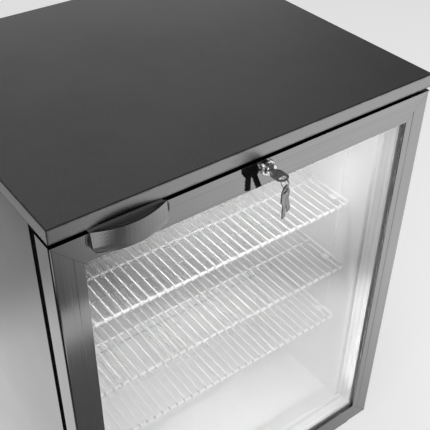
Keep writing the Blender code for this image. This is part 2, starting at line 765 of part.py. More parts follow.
def condenser(frame, aluminium, steel, dark):
    """The finned condenser with its shroud, and the fan that draws air through it."""
    low_x, high_x = CONDENSER_X
    low_z, high_z = CONDENSER_Z
    near, far = CONDENSER_Y
    fins = 20
    bm = bmesh.new()
    box(bm, (low_x + 0.0015, near + 0.010, low_z + 0.010), (high_x - 0.0015, far - 0.010, high_z - 0.010))
    block = place("condenser", bm, aluminium, frame, (low_x, near, low_z))
    bm = bmesh.new()
    for i in range(fins):
        x = low_x + 0.001 + (high_x - low_x - 0.002) * i / (fins - 1)
        box(bm, (x - 0.001, near, low_z), (x + 0.001, far, high_z))
    join(block, bm, frame)

    middle = Vector(((low_x + high_x) / 2, far, (low_z + high_z) / 2))
    plate = far + GAP
    bm = bmesh.new()
    box(bm, (low_x, plate, low_z), (high_x, plate + 0.0015, high_z))
    shroud = place("condenser_fan_shroud", bm, steel, frame, middle)
    bm = bmesh.new()
    rod(bm, CONDENSER_FAN_RADIUS + 0.004, middle, (middle.x, SHROUD_BACK, middle.z), sides=24)
    for vert in bm.verts:
        vert.co.y = max(vert.co.y, plate + 0.0002)
    join(shroud, bm, frame)
    bm = bmesh.new()
    rod(bm, CONDENSER_FAN_RADIUS + 0.0025, (middle.x, far - 0.02, middle.z), (middle.x, 0.45, middle.z), sides=24)
    cut(shroud, bm, frame)

    fan_at = Vector((middle.x, SHROUD_BACK - 0.002, middle.z))
    fan_rotor("condenser_fan_rotor", fan_at, 0.017, 0.022, CONDENSER_FAN_RADIUS - 0.002, frame, dark)

    bm = bmesh.new()
    profile = [(0, 0.001), (0.026, 0.001), (0.029, 0.005), (0.029, 0.034), (0.024, 0.042), (0, 0.042)]
    turned(bm, profile, fan_at, "Y", 16)
    motor = place("condenser_fan_motor", bm, dark, frame, fan_at, smooth=True)
    bm = bmesh.new()
    for i in range(3):
        outline = [
            (0.020, 0.012),
            (0.086, 0.012),
            (0.086, plate + 0.0015 + GAP - fan_at.y),
            (0.084, plate + 0.0015 + GAP - fan_at.y),
            (0.084, 0.010),
            (0.020, 0.010),
        ]
        made = prism(bm, outline, "Z", -0.005, 0.005)
        turn = Matrix.Rotation(math.radians(45 + 90 * i), 4, "Y")
        bmesh.ops.transform(bm, matrix=Matrix.Translation(fan_at) @ turn, verts=made)
    join(motor, bm, frame)


COMPRESSOR = (0.105, 0.425)
COMPRESSOR_TOP = 0.205


def compressor(frame, black, plastic):
    """The hermetic compressor on its mounting plate, its pipe to the condenser, and the drip tray."""
    x, y = COMPRESSOR
    floor = CASE_BOTTOM + 0.0015 + GAP
    radius, seam = 0.070, 0.120
    profile = [(0, floor + 0.008), (0.050, floor + 0.008), (radius - 0.004, floor + 0.022), (radius - 0.002, seam)]
    profile += [(radius, seam), (radius, seam + 0.006), (radius - 0.003, seam + 0.006)]
    dome = COMPRESSOR_TOP - 0.050
    profile += [(r, dome + z) for r, z in ((radius - 0.003, 0.0), (0.062, 0.022), (0.047, 0.038))]
    profile += [(0.026, 0.047 + dome), (0, COMPRESSOR_TOP)]
    bm = bmesh.new()
    turned(bm, profile, (x, y, 0), "Z", 20)
    shell = place("compressor", bm, black, frame, (x, y, floor), smooth=True)
    bm = bmesh.new()
    made = box(bm, (x - 0.085, y - 0.060, floor + 0.006), (x + 0.085, y + 0.060, floor + 0.010))
    for across in (-0.072, 0.072):
        for back in (-0.048, 0.048):
            made += rod(bm, 0.009, (x + across, y + back, floor), (x + across, y + back, floor + 0.014), sides=8)
    box(bm, (x + 0.050, y - 0.018, 0.075), (x + 0.092, y + 0.018, 0.118))
    join(shell, bm, frame)

    start = Vector((x - 0.030, y, COMPRESSOR_TOP - 0.012))
    end = Vector((CONDENSER_X[1] + 0.001, CONDENSER_Y[0] + 0.022, 0.215))
    pull = [start, start + Vector((0, 0, 0.060)), end + Vector((0.080, 0, 0)), end]
    bm = bmesh.new()
    tube(bm, 0.003, [bezier(pull, i / 12) for i in range(13)])
    join(shell, bm, frame)

    tray = (-0.072, 0.420, floor), (0.018, 0.508, 0.062)
    bm = bmesh.new()
    box(bm, *tray)
    top = max(bm.faces, key=lambda face: face.calc_center_median().z)
    bmesh.ops.inset_region(bm, faces=[top], thickness=0.0015)
    pushed = bmesh.ops.extrude_face_region(bm, geom=[top])["geom"]
    bmesh.ops.delete(bm, geom=[top], context="FACES_ONLY")
    sunk = [item for item in pushed if isinstance(item, bmesh.types.BMVert)]
    bmesh.ops.translate(bm, vec=(0, 0, floor + 0.0015 - 0.062), verts=sunk)
    place("drip_tray", bm, plastic, frame, tray[0])


def lamp(frame, white):
    """A strip lamp with a half-round diffuser under the ceiling."""
    top, middle, half = ROOM_TOP - GAP, 0.088, 0.011
    outline = [(middle + half, top), (middle + half, top - 0.003)]
    outline += arc(half - 0.001, 0, -180, 6, (middle, top - 0.003))
    outline += [(middle - half, top - 0.003), (middle - half, top)]
    bm = bmesh.new()
    prism(bm, outline, "X", -0.200, 0.200)
    place("interior_lamp", bm, white, frame, (0, middle, top), smooth=True)


# Door


def frame_section(upright):
    """The door frame's extrusion: (inset from the outer edge, depth from the face)."""
    lip = GLASS_FRONT - GAP
    edge = STILE_ROUND if upright else RAIL_ROUND
    section = [(0, DOOR_THICK), (0, edge)]
    section += arc(edge, 180, 270, 4, (edge, edge))[1:]
    if upright:
        section += [(GROOVE - 0.0005, 0), (GROOVE, 0.0007), (GROOVE + 0.0005, 0)]
    section += [
        (STILE - 0.0006, 0),
        (STILE, 0.0006),
        (STILE, lip),
        (GLASS_EDGE - GAP, lip),
        (GLASS_EDGE - GAP, GLASS_BACK + GAP),
        (0.0337, GLASS_BACK + GAP),
        (0.0337, DOOR_THICK),
    ]
    return section


def hinge_seat(bm, edge, out, rod_end=None):
    """The bore for a bush at the top or bottom edge, with a finer one beyond it for the closer's rod."""
    wide, fine = BUSH_RADIUS + GAP, 0.0032
    floor = edge - out * BUSH_DEPTH
    profile = [(0, edge + out * 0.01), (wide, edge + out * 0.01), (wide, floor)]
    profile += [(fine, floor), (fine, rod_end), (0, rod_end)] if rod_end else [(0, floor)]
    turned(bm, profile, (HINGE_X, HINGE_Y, 0), "Z", 16)


def door_frame(door, dark):
    """Two rails and two stiles, mitred, with the seats of the hinges, the lock and the handle cut in."""
    bars = {}
    for number, name in enumerate(("bottom_rail", "right_stile", "top_rail", "left_stile")):
        bm = bmesh.new()
        mitred_bar(bm, frame_section(number in (1, 3)), SIDE, DOOR_BOTTOM, DOOR_TOP, number)
        bars[name] = place("door_" + name, bm, dark, door)
    for name in ("top_rail", "bottom_rail", "right_stile"):
        bm = bmesh.new()
        if name != "bottom_rail":
            hinge_seat(bm, DOOR_TOP, 1)
        if name != "top_rail":
            hinge_seat(bm, DOOR_BOTTOM, -1, ROD_TOP)
        cut(bars[name], bm, door)
    bm = bmesh.new()
    rod(bm, 0.0083, (LOCK_X, -0.01, LOCK_Z), (LOCK_X, 0.05, LOCK_Z), sides=20)
    cup(bm, -GAP, -0.01)
    cut(bars["top_rail"], bm, door)


def glazing(door, glass, aluminium, white, rubber):
    side = SIDE - GLASS_EDGE
    low, high = DOOR_BOTTOM + GLASS_EDGE, DOOR_TOP - GLASS_EDGE
    fronts = (GLASS_FRONT, GLASS_BACK - PANE)
    for name, front in zip(("glass_outer_pane", "glass_inner_pane"), fronts):
        bm = bmesh.new()
        box(bm, (-side, front, low), (side, front + PANE, high))
        place(name, bm, glass, door, (0, front, low))
    near, far = GLASS_FRONT + PANE + GAP, GLASS_BACK - PANE - GAP
    bar_out, bar_in = 0.0045, 0.0125
    bm = bmesh.new()
    section = [(bar_out, near), (bar_in, near), (bar_in, far), (bar_out, far)]
    mitred_ring(bm, section, side, low, high)
    place("glass_spacer", bm, aluminium, door, (0, near, low))

    trim_back = 0.0460
    bm = bmesh.new()
    section = [
        (0.0340, GLASS_BACK + GAP),
        (STILE, GLASS_BACK + GAP),
        (STILE, trim_back - 0.002),
        (STILE - 0.002, trim_back),
        (0.0360, trim_back),
        (0.0340, trim_back - 0.002),
    ]
    mitred_ring(bm, section, SIDE, DOOR_BOTTOM, DOOR_TOP)
    place("door_inner_trim", bm, white, door, (0, trim_back, DOOR_BOTTOM))

    bellows, outer = 0.0010, 0.0238
    near, far = DOOR_THICK + GAP, FRAME_FRONT - GAP
    bm = bmesh.new()
    section = [
        (outer, near),
        (0.0336, near),
        (0.0336, near + 0.003),
        (0.0336 - bellows, near + 0.006),
        (0.0336, far - 0.004),
        (0.0336, far),
        (outer, far),
        (outer, far - 0.004),
        (outer + bellows, near + 0.006),
        (outer, near + 0.003),
    ]
    mitred_ring(bm, section, SIDE, DOOR_BOTTOM, DOOR_TOP)
    place("door_gasket", bm, rubber, door, (0, near, DOOR_BOTTOM))


def hinge_bushes(door, nylon, steel):
    flange, lip = 0.0075, 0.0007
    for name, top in (("hinge_bush_top", True), ("hinge_bush_bottom", False)):
        edge = DOOR_TOP if top else DOOR_BOTTOM
        out = 1 if top else -1
        profile = [
            (PIN_RADIUS + 0.0003, out * (GAP + lip)),
            (flange, out * (GAP + lip)),
            (flange, out * GAP),
            (BUSH_RADIUS - 0.0002, out * GAP),
            (BUSH_RADIUS - 0.0002, out * (GAP - BUSH_DEPTH)),
            (PIN_RADIUS + 0.0003, out * (GAP - BUSH_DEPTH)),
        ]
        bm = bmesh.new()
        turned(bm, profile, (HINGE_X, HINGE_Y, edge), "Z", 16, ring=True)
        place(name, bm, nylon, door, (HINGE_X, HINGE_Y, edge), smooth=True)
    bm = bmesh.new()
    rod(bm, 0.0026, (HINGE_X, HINGE_Y, DOOR_BOTTOM + BUSH_DEPTH), (HINGE_X, HINGE_Y, ROD_TOP - GAP), sides=10)
    place("closer_torsion_rod", bm, steel, door, (HINGE_X, HINGE_Y, DOOR_BOTTOM), smooth=True)


def grip_outline(z, side_wall, front_wall, back):
    """One level of the grip, as an outline: a bowed front with proud ends, narrower round the corners."""
    steps = 16
    corner = HANDLE_CORNER - side_wall
    above = z - HANDLE_BOTTOM
    drop = min(max(HANDLE_CORNER - above, 0), corner)
    half = HANDLE_HALF - HANDLE_CORNER + math.sqrt(corner**2 - drop**2)
    under = min(max(HANDLE_ROUND - above, 0), HANDLE_ROUND)
    pull = HANDLE_ROUND - math.sqrt(HANDLE_ROUND**2 - under**2) + front_wall
    share = min(1.5 * (HANDLE_TOP - z) / (HANDLE_TOP - HANDLE_BOTTOM), 1)
    end = HANDLE_END_TOP + (HANDLE_END_LOW - HANDLE_END_TOP) * share
    across = [2 * i / steps - 1 for i in range(steps + 1)]
    front = []
    for a in across:
        proud = end + (HANDLE_REACH - end) * (1 - a * a) - pull
        front.append((HANDLE_X + half * a, -max(proud, back + 0.0004), z))
    return front + [(HANDLE_X + half, -back, z), (HANDLE_X - half, -back, z)]


def cup(bm, wall, front):
    """A block, less a wall all round, with its upright and level rear edges rounded."""
    half, corner = CUP_HALF - wall, 0.006 - wall
    low = (HANDLE_X - half, front, CUP_BOTTOM + wall)
    box(bm, low, (HANDLE_X + half, CUP_DEPTH - wall, CUP_TOP - wall))
    ends = [edge for edge in bm.edges if abs(edge.verts[0].co.y - edge.verts[1].co.y) > 0.001]
    bmesh.ops.bevel(bm, geom=ends, offset=corner, affect="EDGES", segments=3, profile=0.5, material=-1)


def handle(door, dark):
    """The moulded grip: a bowed lip in front of the rail, hollow above, and a finger cup let into the rail."""
    shares = (0, 0.15, 0.3, 0.45, 0.6, 0.7, 0.8, 0.88, 0.94, 0.98, 1)
    fall = HANDLE_BOTTOM - HANDLE_TOP
    bm = bmesh.new()
    loft(bm, [grip_outline(HANDLE_TOP + fall * share, 0, 0, GAP) for share in shares])
    grip = place("door_handle", bm, dark, door, smooth=True)
    bm = bmesh.new()
    cup(bm, 0, -CUP_RIM)
    join(grip, bm, door)
    floor = 0.004
    levels = [HANDLE_TOP + (fall + floor) * i / 6 for i in range(7)]
    rings = [grip_outline(z, 0.005, HANDLE_WALL, CUP_RIM) for z in levels]
    above = [(x, y, z + 0.005) for x, y, z in rings[0]]
    bm = bmesh.new()
    loft(bm, [above, *rings])
    cut(grip, bm, door)
    bm = bmesh.new()
    cup(bm, CUP_WALL, -0.0022)
    cut(grip, bm, door)


# Lock and keys


def lock(door, chrome, steel):
    """The cam lock: barrel in the top rail, turning plug, cam behind the door."""
    head_front, head, bezel = -0.0095, 0.0093, 0.0110
    body_back, body = 0.0386, 0.0080
    bore = PLUG_RADIUS + GAP
    profile = [
        (bore, head_front),
        (head - 0.0012, head_front),
        (head, head_front + 0.0012),
        (head, -0.0024),
        (bezel - 0.0008, -0.0024),
        (bezel, -0.0016),
        (bezel, -GAP),
        (body, -GAP),
        (body, body_back),
        (bore, body_back),
    ]
    centre = (LOCK_X, 0, LOCK_Z)
    bm = bmesh.new()
    turned(bm, profile, centre, "Y", 24, ring=True)
    place("lock_barrel", bm, chrome, door, centre, smooth=True)

    axis = Pivot("lock_axis", centre, door)
    tail, screw = 0.0040, 0.0064
    cam_front, cam_back = body_back + GAP, body_back + GAP + 0.0022
    profile = [
        (0, head_front + GAP),
        (PLUG_RADIUS, head_front + GAP),
        (PLUG_RADIUS, body_back),
        (tail, body_back),
        (tail, cam_back + GAP),
        (screw, cam_back + GAP),
        (screw - 0.0006, cam_back + 0.0022),
        (0, cam_back + 0.0022),
    ]
    bm = bmesh.new()
    turned(bm, profile, centre, "Y", 20)
    plug = place("lock_plug", bm, chrome, axis, smooth=True)
    bm = bmesh.new()
    box(bm, (LOCK_X - 0.0046, -0.02, LOCK_Z - 0.0013), (LOCK_X + 0.0046, 0.016, LOCK_Z + 0.0013))
    cut(plug, bm, axis)

    half, reach = 0.0052, 0.0163
    bm = bmesh.new()
    outline = arc(half, -90, 90, 6, (LOCK_X, LOCK_Z)) + arc(half, 90, 270, 6, (LOCK_X - reach + half, LOCK_Z))
    prism(bm, outline, "Y", cam_front, cam_back)
    cam = place("lock_cam", bm, steel, axis)
    bm = bmesh.new()
    rod(bm, tail + 0.0003, (LOCK_X, 0, LOCK_Z), (LOCK_X, 0.06, LOCK_Z), sides=12)
    cut(cam, bm, axis)
    return axis


def key_shape(bm):
    """A key lying flat about the origin: the blade points along +y and the bow's outer end is at -y."""
    blade, tip = 0.0042, 0.0125
    bow, bow_centre, bow_radius = 0.0092, -0.0262, 0.0103
    first = math.degrees(math.acos(bow / bow_radius))
    cuts = [(blade - 0.0013 * (i % 2), 0.0100 - 0.0030 * i) for i in range(6)]
    right = [(0.0022, tip), (blade, 0.0108), *cuts, (blade, -0.0106), (0.0056, -0.0112), (bow, -0.0168)]
    left = [(-bow, -0.0168), (-0.0056, -0.0112), (-blade, -0.0106), (-blade, 0.0108), (-0.0022, tip)]
    end = arc(bow_radius, -first, first - 180, 9, (0, bow_centre))
    half = KEY_THICK / 2
    made = prism(bm, right + end + left, "Z", -half, half)
    return made


def key_slot(bm):
    """The crescent slot in the bow that the ring goes through."""
    outer = arc(0.0076, -42, -138, 8, (0, -0.0262))
    return prism(bm, outer + [(-0.0056, -0.0274), (0.0056, -0.0274)], "Z", -0.01, 0.01)


def key(name, pivot, turn, steel):
    """A key in the door's terms, placed by a matrix."""
    bm = bmesh.new()
    bmesh.ops.transform(bm, matrix=turn, verts=key_shape(bm))
    made = place(name, bm, steel, pivot)
    bm = bmesh.new()
    bmesh.ops.transform(bm, matrix=turn, verts=key_slot(bm))
    cut(made, bm, pivot)


def keys(lock_axis, steel):
    """The key in the lock, and a split ring on it with two spare keys."""
    key("key_in_lock", lock_axis, Matrix.Translation((LOCK_X, 0, LOCK_Z)), steel)

    ring_top = (LOCK_X, RING_Y, RING_Z + RING_RADIUS)
    ring_axis = Pivot("key_ring_axis", ring_top, lock_axis)
    steps = 24
    around = arc(RING_WIRE, 0, 300, 5)
    bm = bmesh.new()
    loops = []
    for i in range(steps):
        angle = 2 * math.pi * i / steps
        loop = []
        for out, along in around:
            radius = RING_RADIUS + out
            spot = (LOCK_X + along, RING_Y + radius * math.cos(angle), RING_Z + radius * math.sin(angle))
            loop.append(bm.verts.new(spot))
        loops.append(loop)
    for here, there in zip(loops, loops[1:] + loops[:1]):
        for i, vert in enumerate(here):
            bm.faces.new((vert, here[i - 1], there[i - 1], there[i]))
    place("key_ring", bm, steel, ring_axis, smooth=True)

    hang = Vector((LOCK_X, RING_Y, RING_Z - RING_RADIUS))
    bow_top = 0.0041  # outer end of a spare key's bow above the wire it hangs on
    upright = Matrix.Rotation(math.radians(90), 4, "X") @ Matrix.Rotation(math.pi, 4, "Z")
    lift = Matrix.Translation((0, 0, bow_top + KEY_END))
    for name, offset, tilt in (("spare_key_front", -0.0011, 0.0), ("spare_key_back", 0.0011, SPARE_TILT)):
        axis = Pivot(name + "_axis", hang, ring_axis)
        swing = Matrix.Rotation(-tilt, 4, "Y")
        spot = Matrix.Translation(hang + Vector((0, offset, 0)))
        key(name, axis, spot @ swing @ lift @ upright, steel)


def build():
    clear_scene()
    black_steel = finish("black_coated_steel", (0.055, 0.056, 0.058), 0.35, 0.2)
    dark_frame = finish("dark_anodised_aluminium", (0.09, 0.09, 0.095), 0.22, 0.7)
    handle_plastic = finish("handle_plastic", (0.08, 0.08, 0.085), 0.25)
    dark_plastic = finish("dark_plastic", (0.05, 0.05, 0.052), 0.4)
    white_plastic = finish("white_plastic", (0.82, 0.83, 0.84), 0.4)
    white_wire = finish("white_coated_wire", (0.88, 0.89, 0.90), 0.3)
    white_steel = finish("white_coated_steel", (0.84, 0.85, 0.86), 0.35)
    galvanised = finish("galvanised_steel", (0.55, 0.56, 0.58), 0.4, 0.9)
    bright_steel = finish("bright_steel", (0.62, 0.62, 0.63), 0.25, 1.0)
    key_steel = finish("key_steel", (0.52, 0.52, 0.53), 0.3, 1.0)
    compressor_black = finish("compressor_black", (0.02, 0.02, 0.022), 0.25)
    chrome = finish("chrome", (0.85, 0.85, 0.86), 0.08, 1.0)
    aluminium = finish("aluminium", (0.75, 0.76, 0.78), 0.3, 1.0)
    glass = finish("glass", (0.95, 0.97, 0.97), 0.02, 0.0, 0.25)
    rubber = finish("black_rubber", (0.02, 0.02, 0.02), 0.6)
    foam = finish("insulation_foam", (0.86, 0.80, 0.62), 0.9)
    board = finish("board", (0.50, 0.38, 0.25), 0.8)
    nylon = finish("nylon", (0.80, 0.80, 0.78), 0.5)

    frame = Pivot("front_plane")
    frame.empty.location = (0, FACE_Y, 0)
    worktop(frame, black_steel, board)
    side_panel("side_panel_left", -1, frame, black_steel)
    side_panel("side_panel_right", 1, frame, black_steel)
    back_panel(frame, galvanised)
    mains_inlet(frame, rubber)
    base_pan(frame, galvanised)
    for side, x in (("left", -FOOT_X), ("right", FOOT_X)):
        for end, y in zip(("front", "rear"), FOOT_Y):
            foot("foot_%s_%s" % (end, side), x, y, frame, rubber)
    insulation(frame, foam)
    liner(frame, white_plastic)
    front_breaker(frame, white_plastic)
    kick_grille(frame, dark_plastic)
    controller(frame, dark_plastic, white_plastic)
    strike_plate(frame, bright_steel)
    plate_top, plate_low = TOP_UNDER - GAP, DOOR_BOTTOM - 0.0013
    hinge_bracket(
        "hinge_bracket_top", frame, bright_steel, (plate_top - 0.0019, plate_top), 0.795, DOOR_TOP - 0.010
    )
    hinge_bracket(
        "hinge_bracket_bottom", frame, bright_steel, (plate_low - 0.0030, plate_low), 0.065, DOOR_BOTTOM + 0.0117
    )
    for side_name, side in (("left", -1), ("right", 1)):
        for end, y in (("front", 0.110), ("rear", 0.370)):
            shelf_upright("shelf_upright_%s_%s" % (end, side_name), side, y, frame, white_steel)
    for name, level in zip(("shelf_upper", "shelf_middle", "shelf_lower"), SHELF_LEVELS):
        shelf(name, level, frame, white_wire)
    evaporator(frame, white_plastic, aluminium, dark_plastic)
    condenser(frame, aluminium, galvanised, dark_plastic)
    compressor(frame, compressor_black, dark_plastic)
    lamp(frame, white_plastic)

    door = Pivot("door_axis", (HINGE_X, HINGE_Y, DOOR_BOTTOM), frame)
    door_frame(door, dark_frame)
    glazing(door, glass, aluminium, white_plastic, rubber)
    hinge_bushes(door, nylon, bright_steel)
    handle(door, handle_plastic)
    lock_axis = lock(door, chrome, bright_steel)
    keys(lock_axis, key_steel)


build()
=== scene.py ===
# %% [markdown]
# # Dressing an undercounter refrigerator
# The cabinet, its glass door, the shelves and the lock arrive here as plain solids that are already the
# right size and already hinged. This lesson gives each of them its real surface, and swaps the solids
# whose shape was simplified (wire shelves, gasket, spacer, lock and keys) for finely modelled pieces.
# Every cell does one thing, and prints what it made.

# %% Load the solids
import math

import bmesh
import bpy
from mathutils import Matrix, Vector


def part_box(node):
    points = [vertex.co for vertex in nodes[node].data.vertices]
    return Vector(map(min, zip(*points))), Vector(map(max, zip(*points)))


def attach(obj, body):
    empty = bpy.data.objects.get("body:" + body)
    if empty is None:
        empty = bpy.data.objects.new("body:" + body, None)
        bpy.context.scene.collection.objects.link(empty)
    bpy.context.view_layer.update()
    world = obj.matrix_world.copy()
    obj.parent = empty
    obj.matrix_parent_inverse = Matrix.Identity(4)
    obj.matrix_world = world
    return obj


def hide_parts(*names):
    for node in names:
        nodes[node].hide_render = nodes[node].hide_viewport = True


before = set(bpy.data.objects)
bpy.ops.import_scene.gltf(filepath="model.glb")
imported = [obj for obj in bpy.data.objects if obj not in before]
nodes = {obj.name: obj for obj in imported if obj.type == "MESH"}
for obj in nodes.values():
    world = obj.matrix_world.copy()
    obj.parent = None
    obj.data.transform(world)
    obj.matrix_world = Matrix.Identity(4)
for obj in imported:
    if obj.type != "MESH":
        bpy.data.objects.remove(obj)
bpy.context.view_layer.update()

# %% [markdown]
# ## Measures
# The door's front face is the plane that everything is measured from, because that is how a maker sets
# out a door: x across, depth back from the face, z up from the floor. The face's place in the scene is
# read from the solids, so that nothing here can drift away from them.

# %% The door's face, and the places that pieces need
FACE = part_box("door_left_stile")[0].y
lid_low, lid_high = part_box("worktop_skin")
SIDE = lid_high.x
TOP = lid_high.z


def spot(x, depth, z):
    """A point given across, back from the door's face, and up from the floor."""
    return Vector((x, FACE + depth, z))


print("door face at y = %.4f, half width %.3f, top %.3f" % (FACE, SIDE, TOP))

# %% [markdown]
# ## Camera
# A view from above the left front corner, looking down across the lid: it shows the handle, the lock
# and the shelves through the glass. A lens a little longer than normal keeps the edges straight.

# %% Camera
EYE = spot(-0.5372, -0.6043, 1.3617)
EYE_TURNS = (52.079, -0.694, -36.572)  # degrees about x, y and z
LENS, SENSOR = 65.25, 36.0
camera_data = bpy.data.cameras.new("camera")
camera_data.lens = LENS
camera_data.sensor_width = SENSOR
camera_data.clip_start = 0.02
camera = bpy.data.objects.new("camera", camera_data)
camera.location = EYE
camera.rotation_euler = [math.radians(turn) for turn in EYE_TURNS]
bpy.context.scene.collection.objects.link(camera)
bpy.context.scene.camera = camera
bpy.context.scene.view_settings.view_transform = "Standard"
print("camera at", [round(value, 3) for value in camera.location])

# %% [markdown]
# ## Writing nodes in one line each
# A material is a small graph. Written out by hand, each node takes four or five lines, which hides the
# idea. This helper adds a node, sets its properties, and fills its inputs: a socket is linked, and
# anything else becomes the input's value.


# %% A helper for node graphs
class Graph:
    """Adds nodes to one tree."""

    def __init__(self, tree):
        self.tree = tree

    def fill(self, socket, value):
        if isinstance(value, bpy.types.NodeSocket):
            self.tree.links.new(value, socket)
        else:
            socket.default_value = value

    def add(self, kind, inputs=(), **settings):
        node = self.tree.nodes.new("ShaderNode" + kind)
        for name, value in settings.items():
            setattr(node, name, value)
        for key, value in dict(inputs).items():
            self.fill(node.inputs[key], value)
        return node

    def math(self, operation, *values, clamp=False):
        node = self.add("Math", dict(enumerate(values)), operation=operation, use_clamp=clamp)
        return node.outputs[0]

    def vector(self, operation, *values):
        node = self.add("VectorMath", dict(enumerate(values)), operation=operation)
        return node.outputs["Value" if operation == "LENGTH" else "Vector"]

    def step(self, value, low, high, out_low=0.0, out_high=1.0):
        """A soft step: out_low below 'low', out_high above 'high', and smooth between them."""
        inputs = {0: value, 1: low, 2: high, 3: out_low, 4: out_high}
        return self.add("MapRange", inputs, interpolation_type="SMOOTHSTEP").outputs[0]

    def blend(self, share, first, second):
        """The first colour where share is 0, the second where it is 1."""
        node = self.add("Mix", {0: share, 6: first, 7: second}, data_type="RGBA")
        return node.outputs[2]

    def parts(self, vector):
        return self.add("SeparateXYZ", {0: vector}).outputs

    def group(self, name, **inputs):
        """Places a node group, and fills the inputs that are named."""
        node = self.add("Group", node_tree=bpy.data.node_groups[name])
        for key, value in inputs.items():
            self.fill(node.inputs[key], value)
        return node.outputs


def grey(level, warmth=0.0):
    """A colour as bright as 'level', pulled a little towards yellow, or towards blue when below 0."""
    return (level * (1 + warmth), level, level * (1 - warmth), 1.0)


def straight(graph, path, own=0):
    """1 where a ray comes straight from the camera, if need be through glass, and 0 after a reflection.

    'own' is the number of steps that the shader counts for itself: 0 on a surface and 1 in the sky.
    """
    turns = graph.math("SUBTRACT", path["Ray Depth"], path["Transmission Depth"])
    unturned = graph.math("LESS_THAN", turns, own + 0.5)
    through = graph.math("MULTIPLY", path["Is Transmission Ray"], unturned)
    return graph.math("ADD", path["Is Camera Ray"], through)


print("graph helper ready")

# %% [markdown]
# ## Studio
# The real object stands in a white product studio. Sheet metal shows little colour of its own: what
# gives it form is what it mirrors. So the sky is pale near the horizon and dark overhead, which is what
# keeps the lid dark while the upright faces stay light. Only mirror rays read that gradient; the
# camera simply sees pale grey, also through glass, and everything else gets an even light.

# %% World
PALE = 0.77  # the sky that the camera sees
THROUGH_GLASS, ALL_ROUND = 0.42, 0.32  # the sky's light behind glass, and on every surface
LOW_SKY, HIGH_SKY = 1.25, 0.24  # the mirrored sky near the horizon, and overhead
BEHIND_CAMERA, FAR_RIGHT = 0.12, 0.40  # the share of it that is left in these two directions
world = bpy.data.worlds.new("studio")
world.use_nodes = True
bpy.context.scene.world = world
sky = Graph(world.node_tree)
path = sky.add("LightPath").outputs
facing = sky.parts(sky.add("TexCoord").outputs["Generated"])
overhead = sky.step(facing["Z"], 0.08, 0.42, LOW_SKY, HIGH_SKY)
in_front = sky.step(facing["Y"], -0.25, 0.35, BEHIND_CAMERA, 1.0)
at_right = sky.step(facing["X"], 0.58, 0.74, 1.0, FAR_RIGHT)
mirrored = sky.math("MULTIPLY", sky.math("MULTIPLY", overhead, in_front), at_right)
level = sky.math("MULTIPLY", path["Is Glossy Ray"], mirrored)
level = sky.math("MULTIPLY_ADD", path["Is Transmission Ray"], THROUGH_GLASS, level)
level = sky.math("MULTIPLY_ADD", path["Is Diffuse Ray"], ALL_ROUND, level)
level = sky.math("MULTIPLY_ADD", straight(sky, path, own=1), sky.math("SUBTRACT", PALE, level), level)
background = world.node_tree.nodes["Background"]
background.inputs["Color"].default_value = grey(1.0)
sky.fill(background.inputs["Strength"], level)
print("world ready")

# %% [markdown]
# The floor is a pale sweep, wide enough to run out to the horizon.

# %% Floor
FLOOR_RADIUS = 14.0
bm = bmesh.new()
bmesh.ops.create_circle(bm, cap_ends=True, radius=FLOOR_RADIUS, segments=96)
mesh = bpy.data.meshes.new("floor")
bm.to_mesh(mesh)
bm.free()
floor = bpy.data.objects.new("floor", mesh)
bpy.context.scene.collection.objects.link(floor)
paint = bpy.data.materials.new("studio_floor")
paint.use_nodes = True
mesh.materials.append(paint)
ground = Graph(paint.node_tree)
shader = paint.node_tree.nodes["Principled BSDF"]
for name, value in (("Roughness", 0.9), ("Specular IOR Level", 0.1), ("Base Color", grey(0.80))):
    shader.inputs[name].default_value = value
place = ground.parts(ground.add("TexCoord").outputs["Object"])
across, along = place["X"], ground.math("SUBTRACT", place["Y"], FACE)
print("floor laid")

# %% [markdown]
# What the metal mirrors is drawn on the floor, where a studio lays real cloths and cards for the same
# reason. In front of the door lies a dark cloth with a soft edge, so that bright metal doesn't vanish
# against white: the door mirrors it at its left end, and the pale floor at its right. One thin strip of
# light crosses it, and a pale card lies in front of it for the grip. Further back the floor has tones
# of its own, for the side panels.

# %% Cloth, strip and card, for the metal
CLOTH_FADE = 0.50  # how fast the cloth grows pale to the right
CLOTH_PALE, CLOTH_DEPTH = 1.03, 0.87
LEFT_END = 0.12  # the share of the cloth's tone that is left at its far left
NEAR_LIFT, CARD_GLOW = 0.20, 1.4
STRIP_AT, STRIP_GLOW = -0.642, 0.62  # in front of the door's face
STRIP_HALF, STRIP_BLUR = 0.035, 0.035
BESIDE, BEHIND = 1.05, 0.53  # the floor's own tones beside the cabinet, and behind it
RIGHT_FLOOR, LEFT_FLOOR = 0.9, 0.05
fade = ground.math("EXPONENT", ground.math("DIVIDE", ground.math("MAXIMUM", across, 0.0), -CLOTH_FADE))
cloth = ground.math("MULTIPLY_ADD", fade, -CLOTH_DEPTH, CLOTH_PALE)
cloth = ground.math("MULTIPLY", cloth, ground.step(across, -0.75, -0.10, LEFT_END, 1.0))
near = ground.math("MULTIPLY", ground.step(along, -0.85, -0.30), ground.step(across, 0.25, 0.65))
cloth = ground.math("MULTIPLY_ADD", near, NEAR_LIFT, cloth)
far_off = ground.step(along, -1.48, -1.15, 1.0, 0.0)
card = ground.math("MULTIPLY", far_off, ground.step(across, -0.75, 0.0, 1.0, 0.0))
cloth = ground.math("MULTIPLY_ADD", card, CARD_GLOW, cloth)
strip_off = ground.math("ABSOLUTE", ground.math("SUBTRACT", along, STRIP_AT))
strip = ground.step(strip_off, STRIP_HALF, STRIP_HALF + STRIP_BLUR, 1.0, 0.0)
strip = ground.math("MULTIPLY", strip, ground.step(across, 0.10, 0.5, 1.0, 0.0))
cloth = ground.math("MULTIPLY_ADD", strip, STRIP_GLOW, cloth)
behind = ground.step(along, 0.63, 0.89, BESIDE, BEHIND)
behind = ground.math("MAXIMUM", behind, ground.step(across, 0.0, 0.5, 0.0, RIGHT_FLOOR))
